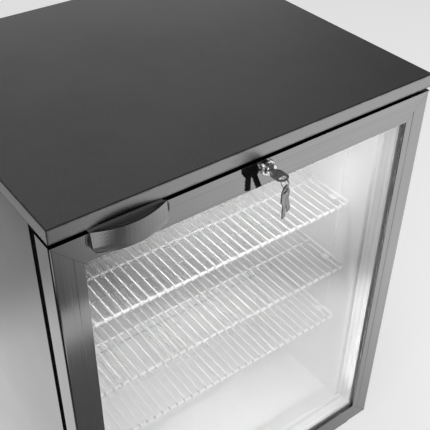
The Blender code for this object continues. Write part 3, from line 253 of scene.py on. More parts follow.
behind = ground.math("MULTIPLY", behind, ground.step(across, -0.85, -0.68, LEFT_FLOOR, 1.0))
past_face = ground.step(along, -0.15, 0.35)
tone = ground.math("MULTIPLY_ADD", past_face, ground.math("SUBTRACT", behind, cloth), cloth)
print("cloth drawn")

# %% [markdown]
# Clear glass mirrors too, and at this angle it shows the floor a little further out. Two pale cards
# there, which only perfectly sharp mirror rays see, lay the milky veil over the shelves that a glass
# door has in a bright room. The camera sees none of this, and neither does a ray that only passes
# through glass.

# %% Cards for the glass, and the floor's surface
FLOOR_LIFT = 0.36  # added where the camera sees the floor, so that the sweep comes out pale
MIRROR_GAIN = 1.6  # how much brighter the whole mirrored floor is than its drawing
UPPER_GLOW = 2.25  # of the card that shows in the upper part of the glass
LOWER_GLOW, LOWER_REST = 1.30, 0.10  # of the one in the lower part, and beyond its edge
HORIZON_TONE = 0.15  # the share of every tone that is left far out
upper_card = ground.math("MULTIPLY_ADD", across, -0.03, along)
upper_card = ground.step(upper_card, -0.80, -0.33, UPPER_GLOW, 0.0)
upper_card = ground.math("MULTIPLY", upper_card, ground.step(across, -0.03, 0.50, 0.0, 1.0))
lower_card = ground.math("MULTIPLY_ADD", across, -0.55, along)
lower_card = ground.step(lower_card, -0.82, -0.59, LOWER_REST, LOWER_GLOW)
cards = ground.math("ADD", upper_card, lower_card)
path = ground.add("LightPath").outputs
in_glass = ground.math("SUBTRACT", ground.math("DIVIDE", cards, MIRROR_GAIN), tone)
tone = ground.math("MULTIPLY_ADD", path["Is Singular Ray"], in_glass, tone)
away = ground.vector("LENGTH", ground.add("TexCoord").outputs["Object"])
tone = ground.math("MULTIPLY", tone, ground.step(away, 2.1, 3.2, 1.0, HORIZON_TONE))
glow = ground.add("Emission", {"Strength": ground.math("MULTIPLY", tone, MIRROR_GAIN)}).outputs[0]
lift = ground.add("Emission", {"Strength": FLOOR_LIFT}).outputs[0]
lit = ground.add("AddShader", {0: shader.outputs[0], 1: lift}).outputs[0]
plain = straight(ground, path)
seen = ground.add("MixShader", {0: plain, 1: shader.outputs[0], 2: lit}).outputs[0]
by_mirror = ground.math("MULTIPLY", path["Is Glossy Ray"], ground.math("SUBTRACT", 1.0, plain))
mix = ground.add("MixShader", {0: by_mirror, 1: seen, 2: glow}).outputs[0]
ground.fill(paint.node_tree.nodes["Material Output"].inputs["Surface"], mix)
print("cards laid")

# %% [markdown]
# Two softboxes stand left and right of the camera and one hangs overhead. The one overhead isn't
# mirrored, because the lid would show it as a white patch.


# %% Lamps
def softbox(name, at, aim, width, tall, watts, mirrored=True, spread=180):
    """A rectangular lamp that faces a point."""
    data = bpy.data.lights.new(name, "AREA")
    data.shape = "RECTANGLE"
    data.size, data.size_y = width, tall
    data.energy = watts
    data.spread = math.radians(spread)
    lamp = bpy.data.objects.new(name, data)
    lamp.location = at
    lamp.rotation_euler = (Vector(aim) - Vector(at)).to_track_quat("-Z", "Y").to_euler()
    lamp.visible_glossy = mirrored
    bpy.context.scene.collection.objects.link(lamp)
    return lamp


softbox("lamp_left", (-2.6, -1.8, 2.4), (0, 0, 0.6), 1.6, 1.6, 26)
softbox("lamp_right", (2.4, -1.9, 2.2), (0, 0, 0.5), 1.6, 1.6, 20)
softbox("lamp_over", (0.3, 0.4, 3.2), (0, 0, 0.6), 2.4, 2.4, 18, mirrored=False)
print("lamps hung")

# %% [markdown]
# ## Shared effects
# Three things happen on nearly every surface of an appliance: a rolled or moulded texture varies the
# colour, the shine and the relief, dust settles on what faces up, and folded edges look different from
# the sheet. Each is one node group, so that every material can place it with its own numbers.


# %% Node groups
def new_group(name, inputs, outputs):
    """An empty group with its sockets; returns its graph and its two end nodes."""
    tree = bpy.data.node_groups.new(name, "ShaderNodeTree")
    for label, kind in outputs:
        tree.interface.new_socket(name=label, in_out="OUTPUT", socket_type="NodeSocket" + kind)
    for label, kind, value in inputs:
        socket = tree.interface.new_socket(name=label, in_out="INPUT", socket_type="NodeSocket" + kind)
        socket.default_value = value
    inside = Graph(tree)
    entry = tree.nodes.new("NodeGroupInput")
    leave = tree.nodes.new("NodeGroupOutput")
    return inside, entry.outputs, leave.inputs


UNIT = (1.0, 1.0, 1.0)
print("groups can be made")

# %% [markdown]
# ### Texture
# The texture is plain noise on the object's own coordinates. Pulled out along one axis, the same noise
# becomes grain, so one group serves both orange peel and brushed metal.

# %% Texture group
inside, given, out = new_group(
    "texture",
    [("Scale", "Float", 10.0), ("Stretch", "Vector", UNIT), ("Detail", "Float", 2.0)],
    [("Value", "Float")],
)
where = inside.vector("MULTIPLY", inside.add("TexCoord").outputs["Object"], given["Stretch"])
noise = inside.add("TexNoise", {"Vector": where, "Scale": given["Scale"], "Detail": given["Detail"]})
inside.fill(out["Value"], noise.outputs["Fac"])
print("texture group ready")

# %% [markdown]
# ### Dust
# Dust lies where a surface faces up. The height of the normal tells where that is, and noise breaks the
# layer into patches.

# %% Dust group
inside, given, out = new_group(
    "dust", [("Amount", "Float", 0.3), ("Scale", "Float", 30.0)], [("Mask", "Float")]
)
up = inside.step(inside.parts(inside.add("NewGeometry").outputs["Normal"])["Z"], 0.55, 0.98)
where = inside.add("TexCoord").outputs["Object"]
noise = inside.add("TexNoise", {"Vector": where, "Scale": given["Scale"], "Detail": 6.0})
speck = inside.step(noise.outputs["Fac"], 0.40, 0.75)
inside.fill(out["Mask"], inside.math("MULTIPLY", inside.math("MULTIPLY", up, speck), given["Amount"]))
print("dust group ready")

# %% [markdown]
# ### Edges of a box
# An edge of a box is where two of its faces meet, so a point close to it is close to the box's limits
# along two axes at once. Of its three distances to those limits, the middle one therefore says how far
# off the edge is. Noise makes the edge's width uneven.

# %% Box edge group
inside, given, out = new_group(
    "box_edges",
    [("Low", "Vector", (0, 0, 0)), ("High", "Vector", UNIT), ("Width", "Float", 0.004)],
    [("Mask", "Float")],
)
where = inside.add("TexCoord").outputs["Object"]
near_low = inside.vector("SUBTRACT", where, given["Low"])
near_high = inside.vector("SUBTRACT", given["High"], where)
gaps = inside.parts(inside.vector("ABSOLUTE", inside.vector("MINIMUM", near_low, near_high)))
lowest = inside.math("MINIMUM", inside.math("MINIMUM", gaps[0], gaps[1]), gaps[2])
highest = inside.math("MAXIMUM", inside.math("MAXIMUM", gaps[0], gaps[1]), gaps[2])
total = inside.math("ADD", inside.math("ADD", gaps[0], gaps[1]), gaps[2])
middle = inside.math("SUBTRACT", inside.math("SUBTRACT", total, lowest), highest)
noise = inside.add("TexNoise", {"Vector": where, "Scale": 90.0, "Detail": 4.0}).outputs["Fac"]
reach = inside.math("MULTIPLY", given["Width"], inside.math("MULTIPLY", noise, 2.0))
inside.fill(out["Mask"], inside.math("SUBTRACT", 1.0, inside.math("DIVIDE", middle, reach), clamp=True))
print("groups:", sorted(group.name for group in bpy.data.node_groups))

# %% [markdown]
# ## Everyday finishes
# Most of the materials follow one recipe. The colour drifts between two close tones, the roughness
# drifts between two values, and a fine texture gives a bump. 'stretch' pulls that texture out along one
# axis: equal numbers give the orange peel of a powder coat, and one small number gives brushed grain
# along that axis. Dust lightens what faces up, and dulls it.


# %% The recipe
DUST_TONE, DUST_DULLS = grey(0.30, 0.05), 0.3


def finish(
    name, tones, shine, grain, metallic=0.0, stretch=UNIT, bump=0.0, dust=0.0, drift=6.0, edge=None, **extra
):
    """A Principled material: tones and shine are (low, high) pairs, grain is the texture's scale.

    'edge' is the part's box as two corners, the width of its edges, how far they change, and to what.
    """
    made = bpy.data.materials.new(name)
    made.use_nodes = True
    graph = Graph(made.node_tree)
    shader = made.node_tree.nodes["Principled BSDF"]
    shader.inputs["Metallic"].default_value = metallic
    for key, value in extra.items():
        shader.inputs[key.replace("_", " ")].default_value = value
    wide = graph.group("texture", Scale=drift, Detail=3.0)["Value"]
    fine = graph.group("texture", Scale=grain, Stretch=stretch, Detail=3.0)["Value"]
    share = graph.math("MULTIPLY_ADD", fine, 0.5, graph.math("MULTIPLY", wide, 0.5))
    share = graph.step(share, 0.35, 0.65)
    colour = graph.blend(share, tones[0], tones[1])
    rough = graph.math("MULTIPLY_ADD", share, shine[1] - shine[0], shine[0])
    if dust:
        mask = graph.group("dust", Amount=dust, Scale=35.0)["Mask"]
        colour = graph.blend(mask, colour, DUST_TONE)
        rough = graph.math("MULTIPLY_ADD", mask, DUST_DULLS, rough)
    if edge:
        low, high, width, amount, edge_tone = edge
        mask = graph.group("box_edges", Low=low, High=high, Width=width)["Mask"]
        colour = graph.blend(graph.math("MULTIPLY", mask, amount), colour, edge_tone)
    graph.fill(shader.inputs["Base Color"], colour)
    graph.fill(shader.inputs["Roughness"], rough)
    if bump:
        relief = graph.add("Bump", {"Height": fine, "Strength": 1.0, "Distance": bump})
        graph.fill(shader.inputs["Normal"], relief.outputs["Normal"])
    return made


def dress(material, *names):
    """Gives CAD nodes a material in place of their plain one."""
    for name in names:
        slots = nodes[name].data.materials
        slots.clear()
        slots.append(material)
    print(material.name, "->", ", ".join(names))


print("recipe ready")

# %% [markdown]
# ## Cabinet steel
# The lid and the sides are folded steel with a dark metallic coat: almost a gunmetal mirror, blurred by
# a faint orange peel. Along the lid's folded edges the colour is painted much darker, in a thin line.

# %% Lid and sides
coat_tones = (grey(0.222), grey(0.230))
# The lid's edges are coloured almost black, in a thin line along each fold.
lid_edges = (lid_low, lid_high, 0.0028, 0.9, grey(0.06))
side_tones = (grey(0.195), grey(0.205))
side_rim = grey(0.68)  # a coat mirrors less than bare metal at a glancing angle
lid_steel = finish(
    "dark_coated_lid", coat_tones, (0.26, 0.32), 900.0, metallic=1.0, bump=0.00002, dust=0.02, edge=lid_edges
)
side_steel = finish(
    "dark_coated_sides", side_tones, (0.20, 0.26), 900.0, metallic=1.0, bump=0.00002, Specular_Tint=side_rim
)
dress(lid_steel, "worktop_skin")
dress(side_steel, "side_panel_left", "side_panel_right")

# %% [markdown]
# ## Anodised door frame
# The four members are aluminium extrusions, drawn through a die and then anodised. The die leaves lines
# as long as the bar, so the grain of a rail runs across and that of a stile runs up. They are polished
# enough to mirror the keys. A fine groove runs up the left stile, and the light on its wall is a painted
# highlight: a pale line in the stile's colour.

# %% Rails and stiles
GROOVE_X = 0.2733  # from the door's middle
GROOVE_HALF, GROOVE_BLUR = 0.0003, 0.0005
ALONG_X, ALONG_Z = (0.004, 1.0, 1.0), (1.0, 1.0, 0.004)  # which way the grain is drawn out
frame_tones = (grey(0.225), grey(0.250))
frame_rim = grey(0.62)
bare = {"metallic": 1.0, "Specular_Tint": frame_rim}
rail_metal = finish("anodised_rail", frame_tones, (0.035, 0.065), 700.0, stretch=ALONG_X, **bare)
stile_metal = finish("anodised_stile", frame_tones, (0.08, 0.15), 700.0, stretch=ALONG_Z, **bare)
graph = Graph(stile_metal.node_tree)
shader = stile_metal.node_tree.nodes["Principled BSDF"]
# Painted highlight: along the groove the stile's colour turns pale grey, for the light on the groove's wall.
from_groove = graph.math("ADD", graph.parts(graph.add("TexCoord").outputs["Object"])["X"], GROOVE_X)
groove_painted_highlight = graph.math("ABSOLUTE", from_groove)
groove_painted_highlight = graph.step(groove_painted_highlight, GROOVE_HALF, GROOVE_HALF + GROOVE_BLUR, 1.0, 0.0)
brushed = shader.inputs["Base Color"].links[0].from_socket
graph.fill(shader.inputs["Base Color"], graph.blend(groove_painted_highlight, brushed, grey(0.50)))
dress(rail_metal, "door_top_rail", "door_bottom_rail")
dress(stile_metal, "door_left_stile", "door_right_stile")

# %% [markdown]
# ## Plastics
# White mouldings line the cabinet; black ones make the grip, the grille, the controller and the fans. A
# moulding tool is spark-eroded, so black parts have a fine matt grain, while a liner is sucked down over
# a form from one warm sheet and stays smooth, with a slow waviness.

# %% Mouldings
liner_white = finish("liner_white", (grey(0.80), grey(0.84)), (0.30, 0.42), 40.0, bump=0.00015, drift=3.0)
trim_white = finish("trim_white", (grey(0.82), grey(0.86)), (0.28, 0.36), 300.0, bump=0.00001)
matt_tones = (grey(0.022), grey(0.035))
matt_black = finish("grained_plastic", matt_tones, (0.42, 0.55), 1400.0, bump=0.00003, dust=0.15)
button_white = finish("button_white", (grey(0.62), grey(0.68)), (0.35, 0.45), 900.0, bump=0.00001)
dress(liner_white, "liner", "evaporator_cover")
dress(trim_white, "door_inner_trim", "front_breaker")
dress(trim_white, "shelf_upright_front_left", "shelf_upright_rear_left")
dress(trim_white, "shelf_upright_front_right", "shelf_upright_rear_right")
dress(matt_black, "kick_grille", "controller_housing", "drip_tray")
dress(matt_black, "evaporator_fan_motor", "evaporator_fan_rotor")
dress(matt_black, "condenser_fan_motor", "condenser_fan_rotor")
dress(button_white, "button_set", "button_down", "button_up")

# %% [markdown]
# The grip is moulded in one shot and sprayed with a metallic lacquer, which only reaches its outer
# face. Behind that face, in the hollow for the fingers, the plain plastic shows, dark and dull. Towards
# the door it is painted paler: a painted light, for what the door throws back into the hollow.

# %% The grip and its hollow
LACQUER, LACQUER_LOST = 0.85, 0.80  # how metallic it is, and how much of that the hollow lacks
grip_black = finish("grip_plastic", (grey(0.150), grey(0.165)), (0.20, 0.24), 60.0, metallic=LACQUER)
graph = Graph(grip_black.node_tree)
shader = grip_black.node_tree.nodes["Principled BSDF"]
depth = graph.math("SUBTRACT", graph.parts(graph.add("TexCoord").outputs["Object"])["Y"], FACE)
hollow = graph.step(depth, -0.0030, -0.0018)
# Painted light: the hollow's dark plastic is coloured paler near the door, for the light that the door throws
# back.
plastic_and_painted_bounce = graph.blend(graph.step(depth, -0.0005, 0.0015), grey(0.11), grey(0.36))
mirror_tone = shader.inputs["Base Color"].links[0].from_socket
graph.fill(shader.inputs["Base Color"], graph.blend(hollow, mirror_tone, plastic_and_painted_bounce))
graph.fill(shader.inputs["Metallic"], graph.math("MULTIPLY_ADD", hollow, -LACQUER_LOST, LACQUER))
dress(grip_black, "door_handle")

# %% [markdown]
# Rubber is duller than moulded plastic and soon gathers dust, while nylon is pale and a little waxy.
# Foam is warm in colour and full of bubbles, and the board under the lid is painted black against damp,
# so that only its chips show. Those two need a coarse relief more than they need shine.

# %% Rubber, nylon, foam and board
rubber = finish("rubber", (grey(0.018), grey(0.028)), (0.55, 0.75), 1200.0, bump=0.00004, dust=0.2)
nylon = finish("nylon", (grey(0.55, 0.02), grey(0.62, 0.02)), (0.40, 0.50), 700.0, bump=0.00002)
foam = finish("foam", (grey(0.55, 0.16), grey(0.68, 0.13)), (0.85, 0.95), 450.0, bump=0.0006)
board = finish("particle_board", (grey(0.012), grey(0.020)), (0.75, 0.9), 260.0, bump=0.0003)
dress(rubber, "mains_inlet", "door_gasket")
dress(rubber, "foot_front_left", "foot_front_right", "foot_rear_left", "foot_rear_right")
dress(nylon, "hinge_bush_top", "hinge_bush_bottom")
dress(foam, "insulation_foam")
dress(board, "worktop_board")

# %% [markdown]
# ## Bare metals
# Polished steel is almost all mirror. What tells zinc plate from nickel or chrome is how sharp that
# mirror is, and how grey.

# %% Steels
zinc = finish("zinc_plate", (grey(0.58, -0.01), grey(0.70)), (0.22, 0.34), 500.0, metallic=1.0, bump=0.00001)
rolled = (0.2, 1.0, 1.0)
nickel = finish(
    "nickel_key", (grey(0.12), grey(0.17)), (0.24, 0.34), 900.0, metallic=0.25, stretch=rolled, bump=0.00001
)
chrome = finish("chrome", (grey(0.90), grey(0.95)), (0.14, 0.22), 300.0, metallic=1.0)
fin_metal = finish("fin_aluminium", (grey(0.66), grey(0.78)), (0.25, 0.38), 600.0, metallic=1.0, bump=0.00002)
wire_white = finish("coated_wire", (grey(0.86), grey(0.90)), (0.22, 0.32), 300.0, bump=0.00002)
spacer_tones = (grey(0.88), grey(0.92))
spacer_metal = finish("spacer_aluminium", spacer_tones, (0.30, 0.40), 600.0, metallic=0.4, bump=0.00001)
dress(zinc, "strike_plate", "hinge_bracket_top", "hinge_bracket_bottom", "lock_cam", "closer_torsion_rod")
dress(nickel, "key_in_lock", "spare_key_front", "spare_key_back")
dress(chrome, "lock_barrel", "lock_plug", "key_ring")
dress(spacer_metal, "glass_spacer")
dress(fin_metal, "evaporator_coil", "condenser")
dress(wire_white, "shelf_upper", "shelf_middle", "shelf_lower")

# %% [markdown]
# Each wire throws a small shadow on the rods below it, and that shadow is painted on: the rods are
# coloured darker just beside every wire. The wires are evenly spaced, so the place within one space says
# where that is. The back of a shelf gets less light than the front, and that shade is painted too: the
# wires turn greyer towards the back.

# %% Painted shadows beside the wires, and painted shade at the back
WIRE_SPACES = 35
FRAME_ROD = 0.0026  # radius of the rod that frames a shelf
END_STRIP = 0.006  # the frame's side rods, which have no welds
shelf_low, shelf_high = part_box("shelf_upper")
space = (shelf_high.x - shelf_low.x - 2 * FRAME_ROD) / WIRE_SPACES
graph = Graph(wire_white.node_tree)
shader = wire_white.node_tree.nodes["Principled BSDF"]
where = graph.parts(graph.add("TexCoord").outputs["Object"])
from_side = graph.math("SUBTRACT", where["X"], shelf_low.x + FRAME_ROD)
part = graph.math("FRACT", graph.math("DIVIDE", from_side, space))
# Painted shadow: the rods are coloured darker just beside each wire, for the shadow that the wire throws.
painted_wire_shadow = graph.math("MULTIPLY", graph.step(part, 0.66, 0.72), graph.step(part, 0.90, 0.93, 1.0, 0.0))
off_middle = graph.math("ABSOLUTE", where["X"])
inner_edge = shelf_high.x - END_STRIP
painted_wire_shadow = graph.math("MULTIPLY", painted_wire_shadow, graph.step(off_middle, inner_edge - 0.001, inner_edge + 0.001, 1.0, 0.0))
coat = shader.inputs["Base Color"].links[0].from_socket
coat = graph.blend(painted_wire_shadow, coat, grey(0.48))
# Painted shade: the wires are coloured greyer towards the back of the shelf, where less light falls.
painted_rear_shade = graph.step(where["Y"], shelf_low.y + 0.02, shelf_low.y + 0.16, 0.0, 0.50)
graph.fill(shader.inputs["Base Color"], graph.blend(painted_rear_shade, coat, grey(0.25)))
print("space between two wires: %.4f" % space)

# %% [markdown]
# Zinc freezes on hot-dipped sheet in crystals, each with its own tone and shine: one cell pattern
# gives both.

# %% Galvanised sheet, with its spangle
spangle = bpy.data.materials.new("galvanised")
spangle.use_nodes = True
graph = Graph(spangle.node_tree)
shader = spangle.node_tree.nodes["Principled BSDF"]
shader.inputs["Metallic"].default_value = 1.0
where = graph.add("TexCoord").outputs["Object"]
cells = graph.add("TexVoronoi", {"Vector": where, "Scale": 110.0}, feature="F1")
tone = graph.parts(cells.outputs["Color"])[0]
colour = graph.blend(tone, grey(0.46, -0.02), grey(0.66))
dusty = graph.group("dust", Amount=0.35, Scale=25.0)["Mask"]
graph.fill(shader.inputs["Base Color"], graph.blend(dusty, colour, grey(0.35, 0.06)))
graph.fill(shader.inputs["Roughness"], graph.math("MULTIPLY_ADD", tone, 0.20, 0.28))
dress(spangle, "base_pan", "back_panel", "condenser_fan_shroud")

# %% [markdown]
# Glass is one plain material. Only its shadow is given on its own, to pale grey, because light that falls
# through a pane loses little.

# %% Glass
SHADOW = grey(0.80)
glass = bpy.data.materials.new("glass")
glass.use_nodes = True
shader = glass.node_tree.nodes["Principled BSDF"]
shader.inputs["Base Color"].default_value = grey(0.985)
shader.inputs["Roughness"].default_value = 0.0
shader.inputs["IOR"].default_value = 1.5
shader.inputs["Transmission Weight"].default_value = 1.0
graph = Graph(glass.node_tree)
clear = graph.add("BsdfTransparent", {"Color": SHADOW}).outputs[0]
passing = graph.add("LightPath").outputs["Is Shadow Ray"]
both = graph.add("MixShader", {0: passing, 1: shader.outputs[0], 2: clear}).outputs[0]
graph.fill(glass.node_tree.nodes["Material Output"].inputs["Surface"], both)
dress(glass, "glass_outer_pane", "glass_inner_pane")

# %% [markdown]
# A compressor's shell is pressed from thick steel and dipped in black enamel. The coat is glossy and
# runs smooth, and its top is dusty, because the fan draws the room's air over it.

# %% Compressor
enamel = finish("compressor_enamel", (grey(0.015), grey(0.022)), (0.16, 0.26), 500.0, bump=0.00003, dust=0.25)
dress(enamel, "compressor")

# %% [markdown]
# ## Light inside
# The tube under the ceiling is a diffuser with a lamp below it that shines down on the shelves. A
# second, very thin lamp stands between the two panes and shines across the gap: it stands for the
# daylight that a pane carries to its edge, and makes the spacer's wall bright at the right.

# %% The tube, and the light between the panes
diffuser = finish("lamp_diffuser", (grey(0.84), grey(0.88)), (0.35, 0.45), 500.0, bump=0.00002)
dress(diffuser, "interior_lamp")
lamp_low, lamp_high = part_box("interior_lamp")
under_lamp = Vector((0, (lamp_low.y + lamp_high.y) / 2, lamp_low.z - 0.004))
below = under_lamp - Vector((0, 0, 1))
softbox("lamp_inside", under_lamp, below, 0.44, 0.02, 0.42, mirrored=False, spread=60)
gap_low, gap_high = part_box("glass_spacer")
in_gap = Vector((gap_low.x + 0.05, (gap_low.y + gap_high.y) / 2, gap_low.z + 0.14))
across_gap = in_gap + Vector((1, 0, 0.1))
edge_lamp = softbox("lamp_between_panes", in_gap, across_gap, 0.004, 0.24, 0.06, mirrored=False, spread=10)
edge_lamp.visible_camera = edge_lamp.visible_transmission = False

# %% [markdown]
# ## Making a piece
# Every new piece goes the same way: a bmesh is shaped by operators, its doubles are merged, its normals
# are turned out, and it becomes an object at the origin that rides on a body, while the plain solids that
# it stands for are hidden. Faces that meet gently are shaded smooth, and sharper edges stay crisp.


# %% From bmesh to piece
def finished(bm, name, material, body, slot, *solids, angle=35):
    """Turns a bmesh into a piece of the scene."""
    bmesh.ops.remove_doubles(bm, verts=bm.verts, dist=1e-6)
    bmesh.ops.recalc_face_normals(bm, faces=bm.faces)
    mesh = bpy.data.meshes.new(name)
    bm.to_mesh(mesh)
    bm.free()
    mesh.shade_smooth()
    mesh.set_sharp_from_angle(angle=math.radians(angle))
    mesh.materials.append(material)
    piece = bpy.data.objects.new(name, mesh)
    bpy.context.scene.collection.objects.link(piece)
    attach(piece, body)
    if solids:
        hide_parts(*solids)
    print("%s: %d faces, rides on %s" % (name, len(mesh.polygons), body))
    return piece


print("pieces can be made")

# %% [markdown]
# ## Wire shelves
# A shelf is a frame of thick round rod with thin wires welded across it and then dipped in plastic. A
# wire is a circle pushed along a route: at each point the ring of edges is extruded and turned to face
# the next stretch. The wires lie on the frame, and their front ends hook down over the front rod, which
# is what makes the row of bright knuckles along a shelf's edge.


# %% Pushing a circle along a route
def push_along(bm, route, radius, sides=8, closed=False):
    """A round bar through the points of the route."""
    route = [Vector(point) for point in route]
    count = len(route)

    def pose(i):
        before = route[i - 1] if i or closed else route[0]
        after = route[(i + 1) % count] if i < count - 1 or closed else route[-1]
        turn = (after - before).to_track_quat("Z", "Y").to_matrix().to_4x4()
        return Matrix.Translation(route[i]) @ turn

    start = pose(0)
    ring = bmesh.ops.create_circle(bm, cap_ends=not closed, radius=radius, segments=sides, matrix=start)
    edges = list(dict.fromkeys(edge for vert in ring["verts"] for edge in vert.link_edges))
    first, here = edges, start
    for i in range(1, count):
        pushed = bmesh.ops.extrude_edge_only(bm, edges=edges)["geom"]
        verts = [item for item in pushed if isinstance(item, bmesh.types.BMVert)]
        edges = [item for item in pushed if isinstance(item, bmesh.types.BMEdge)]
        there = pose(i)
        bmesh.ops.transform(bm, matrix=there @ here.inverted(), verts=verts)
        here = there
    if closed:
        bmesh.ops.bridge_loops(bm, edges=first + edges)
    else:
        bmesh.ops.contextual_create(bm, geom=edges)


def arc(centre, radius, start, end, steps, axes):
    """Points on an arc round a centre, drawn in the plane of two axes, with angles in degrees."""
    points = []
    for i in range(steps + 1):
        angle = math.radians(start + (end - start) * i / steps)
        points.append(Vector(centre) + radius * (math.cos(angle) * axes[0] + math.sin(angle) * axes[1]))
    return points


ACROSS, BACKWARD, UPWARD = Vector((1, 0, 0)), Vector((0, 1, 0)), Vector((0, 0, 1))
print("wire helpers ready")

# %% [markdown]
# ### One shelf
# The frame is a closed loop with rounded corners, and the wires lie over it, evenly spaced. Three cross
# rods below the wires keep them from sagging under a row of bottles. The coat makes one piece of it all,
# so one bmesh holds everything. The upper and the lower shelf stand a little further in than the
# middle one.

# %% One shelf
CROSS_ROD, THIN_WIRE = 0.0018, 0.00125  # radii
SINK = 0.0004  # how far a wire is fused into the rod below it
BEND = 0.009  # radius of the frame's corners
BAYS = 4
HOOK_FROM, HOOK_TO = 90, 195  # degrees round the front rod, from its top to just below its front
SET_BACK = 0.009


def wire_shelf(name, set_back=0.0):
    """Frame, wires and cross rods in one piece, with the front edge set back from the plain solid's."""
    low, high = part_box(name)
    level = high.z - FRAME_ROD
    left, right = low.x + FRAME_ROD, high.x - FRAME_ROD
    front, back = low.y + FRAME_ROD + set_back, high.y - FRAME_ROD
    bm = bmesh.new()
    corners = [(left + BEND, front + BEND, 180), (right - BEND, front + BEND, 270)]
    corners += [(right - BEND, back - BEND, 0), (left + BEND, back - BEND, 90)]
    loop = []
    for x, y, start in corners:
        loop += arc((x, y, level), BEND, start, start + 90, 5, (ACROSS, BACKWARD))
    push_along(bm, loop, FRAME_ROD, sides=12, closed=True)
    reach = FRAME_ROD + THIN_WIRE - SINK
    for i in range(1, WIRE_SPACES):
        x = left + space * i
        route = [Vector((x, back + 0.001, level + reach))]
        route += arc((x, front, level), reach, HOOK_FROM, HOOK_TO, 6, (BACKWARD, UPWARD))
        push_along(bm, route, THIN_WIRE, sides=6)
    for i in range(1, BAYS):
        y = front + (back - front) * i / BAYS
        z = level + reach - THIN_WIRE - CROSS_ROD + SINK
        push_along(bm, [(left, y, z), (right, y, z)], CROSS_ROD, sides=8)
    return finished(bm, name + "_wires", wire_white, name, "white_coated_wire", name, angle=50)


for name, set_back in (("shelf_upper", SET_BACK), ("shelf_middle", 0.0), ("shelf_lower", SET_BACK)):
    wire_shelf(name, set_back)

# %% [markdown]
# ## Frames that run round the door
# The gasket and the spacer between the panes are both one section carried round a rectangle and mitred
# at its corners. Mirroring does that with no trigonometry: the section is drawn once at a corner, on
# the mitre, and each next corner is the mirror image of the last one across the door's middle. After
# four mirrored extrusions the section is back where it began, and merging doubles closes the ring.


# %% A mitred ring
def mitred_ring(bm, section, half, low, high):
    """Carries (inset, depth) points round the rectangle x = -half..half, z = low..high."""
    middle = (low + high) / 2
    verts = [bm.verts.new(spot(inset - half, depth, low + inset)) for inset, depth in section]
    edges = [bm.edges.new(pair) for pair in zip(verts, verts[1:] + verts[:1])]
    for turn in range(4):
        pushed = bmesh.ops.extrude_edge_only(bm, edges=edges)["geom"]
        verts = [item for item in pushed if isinstance(item, bmesh.types.BMVert)]
        edges = [item for item in pushed if isinstance(item, bmesh.types.BMEdge)]
        if turn % 2 == 0:
            mirror = Matrix.Scale(-1, 4, ACROSS)
        else:
            lift = Matrix.Translation((0, 0, middle))
            mirror = lift @ Matrix.Scale(-1, 4, UPWARD) @ lift.inverted()
        bmesh.ops.transform(bm, matrix=mirror, verts=verts)
    bmesh.ops.remove_doubles(bm, verts=bm.verts, dist=1e-6)


print("mitred ring ready")

# %% [markdown]
# ### Gasket
# The gasket is a soft magnetic seal: a dart that is pushed into the door, two thin bellows that let it
# stretch, and a flat pocket at the back that holds the magnet strip against the cabinet.

# %% Gasket
GASKET_WIDE = 0.0098
FOLD, ROUNDED = 0.0012, 0.0008  # how deep a bellows folds in, and the pocket's rounded corners
crests, valleys = (0.0016, 0.0046, 0.0078), (0.0030, 0.0062)  # back from the gasket's front
door_bottom, door_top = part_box("door_bottom_rail")[0].z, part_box("door_top_rail")[1].z
gasket_low, gasket_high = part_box("door_gasket")
inner, outer = SIDE - gasket_high.x + GASKET_WIDE, SIDE - gasket_high.x
near, far = gasket_low.y - FACE, gasket_high.y - FACE
folds = sorted([(back, 0.0) for back in crests] + [(back, FOLD) for back in valleys])
section = [(outer, near), (inner, near)]
section += [(inner - fold, near + back) for back, fold in folds]
section += [(inner, far - ROUNDED), (inner - ROUNDED, far), (outer + ROUNDED, far), (outer, far - ROUNDED)]
section += [(outer + fold, near + back) for back, fold in reversed(folds)]
bm = bmesh.new()
mitred_ring(bm, section, SIDE, door_bottom, door_top)
finished(bm, "gasket_bellows", rubber, "door", "black_rubber", "door_gasket", angle=20)

# %% [markdown]
# ### Spacer
# Between the two panes runs a folded aluminium bar filled with drying beads. Its inner face is pierced
# with a row of tiny holes, so that the beads can dry the air in the gap: through the glass they read as
# a dotted line. Each long wall is cut into cells, and every second cell of the inner face is inset and
# pushed in.

# %% Spacer
HOLE_PITCH = 0.0040
BAR = 0.0080  # the spacer's height from the pane's edge
ROW, ROW_HALF = 0.0030, 0.0014  # where the row of holes runs, back from the front pane
HOLE_DEPTH = 0.0006
HOLE_RIM, HOLE_WALL = 0.0002, 0.0001  # how far a hole's mouth and its floor are inset
spacer_low, spacer_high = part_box("glass_spacer")
near, far = spacer_low.y - FACE, spacer_high.y - FACE
half = spacer_high.x
middle = near + ROW
walls = [(0, near), (BAR, near), (BAR, middle - ROW_HALF), (BAR, middle + ROW_HALF), (BAR, far), (0, far)]
bm = bmesh.new()
mitred_ring(bm, walls, half, spacer_low.z, spacer_high.z)
for direction, length in ((ACROSS, 2 * half), (UPWARD, spacer_high.z - spacer_low.z)):
    count = 2 * round(length / HOLE_PITCH / 2) + 1
    lengthwise = []
    for edge in bm.edges:
        along = (edge.verts[1].co - edge.verts[0].co).normalized()
        if abs(along.dot(direction)) > 0.99 and edge.calc_length() > 0.3:
            lengthwise.append(edge)
    bmesh.ops.subdivide_edges(bm, edges=lengthwise, cuts=count, use_grid_fill=True)
holes = []
for face in bm.faces:
    centre = face.calc_center_median()
    inward = min(half - BAR - abs(centre.x), centre.z - spacer_low.z - BAR, spacer_high.z - BAR - centre.z)
    if abs(inward) < 1e-5 and abs(centre.y - FACE - middle) < 0.0005:
        sideways = abs(face.normal.x) > 0.5
        number = round((centre.z if sideways else centre.x) / HOLE_PITCH * 2)
        if number % 2 == 0:
            holes.append(face)
bmesh.ops.recalc_face_normals(bm, faces=bm.faces)
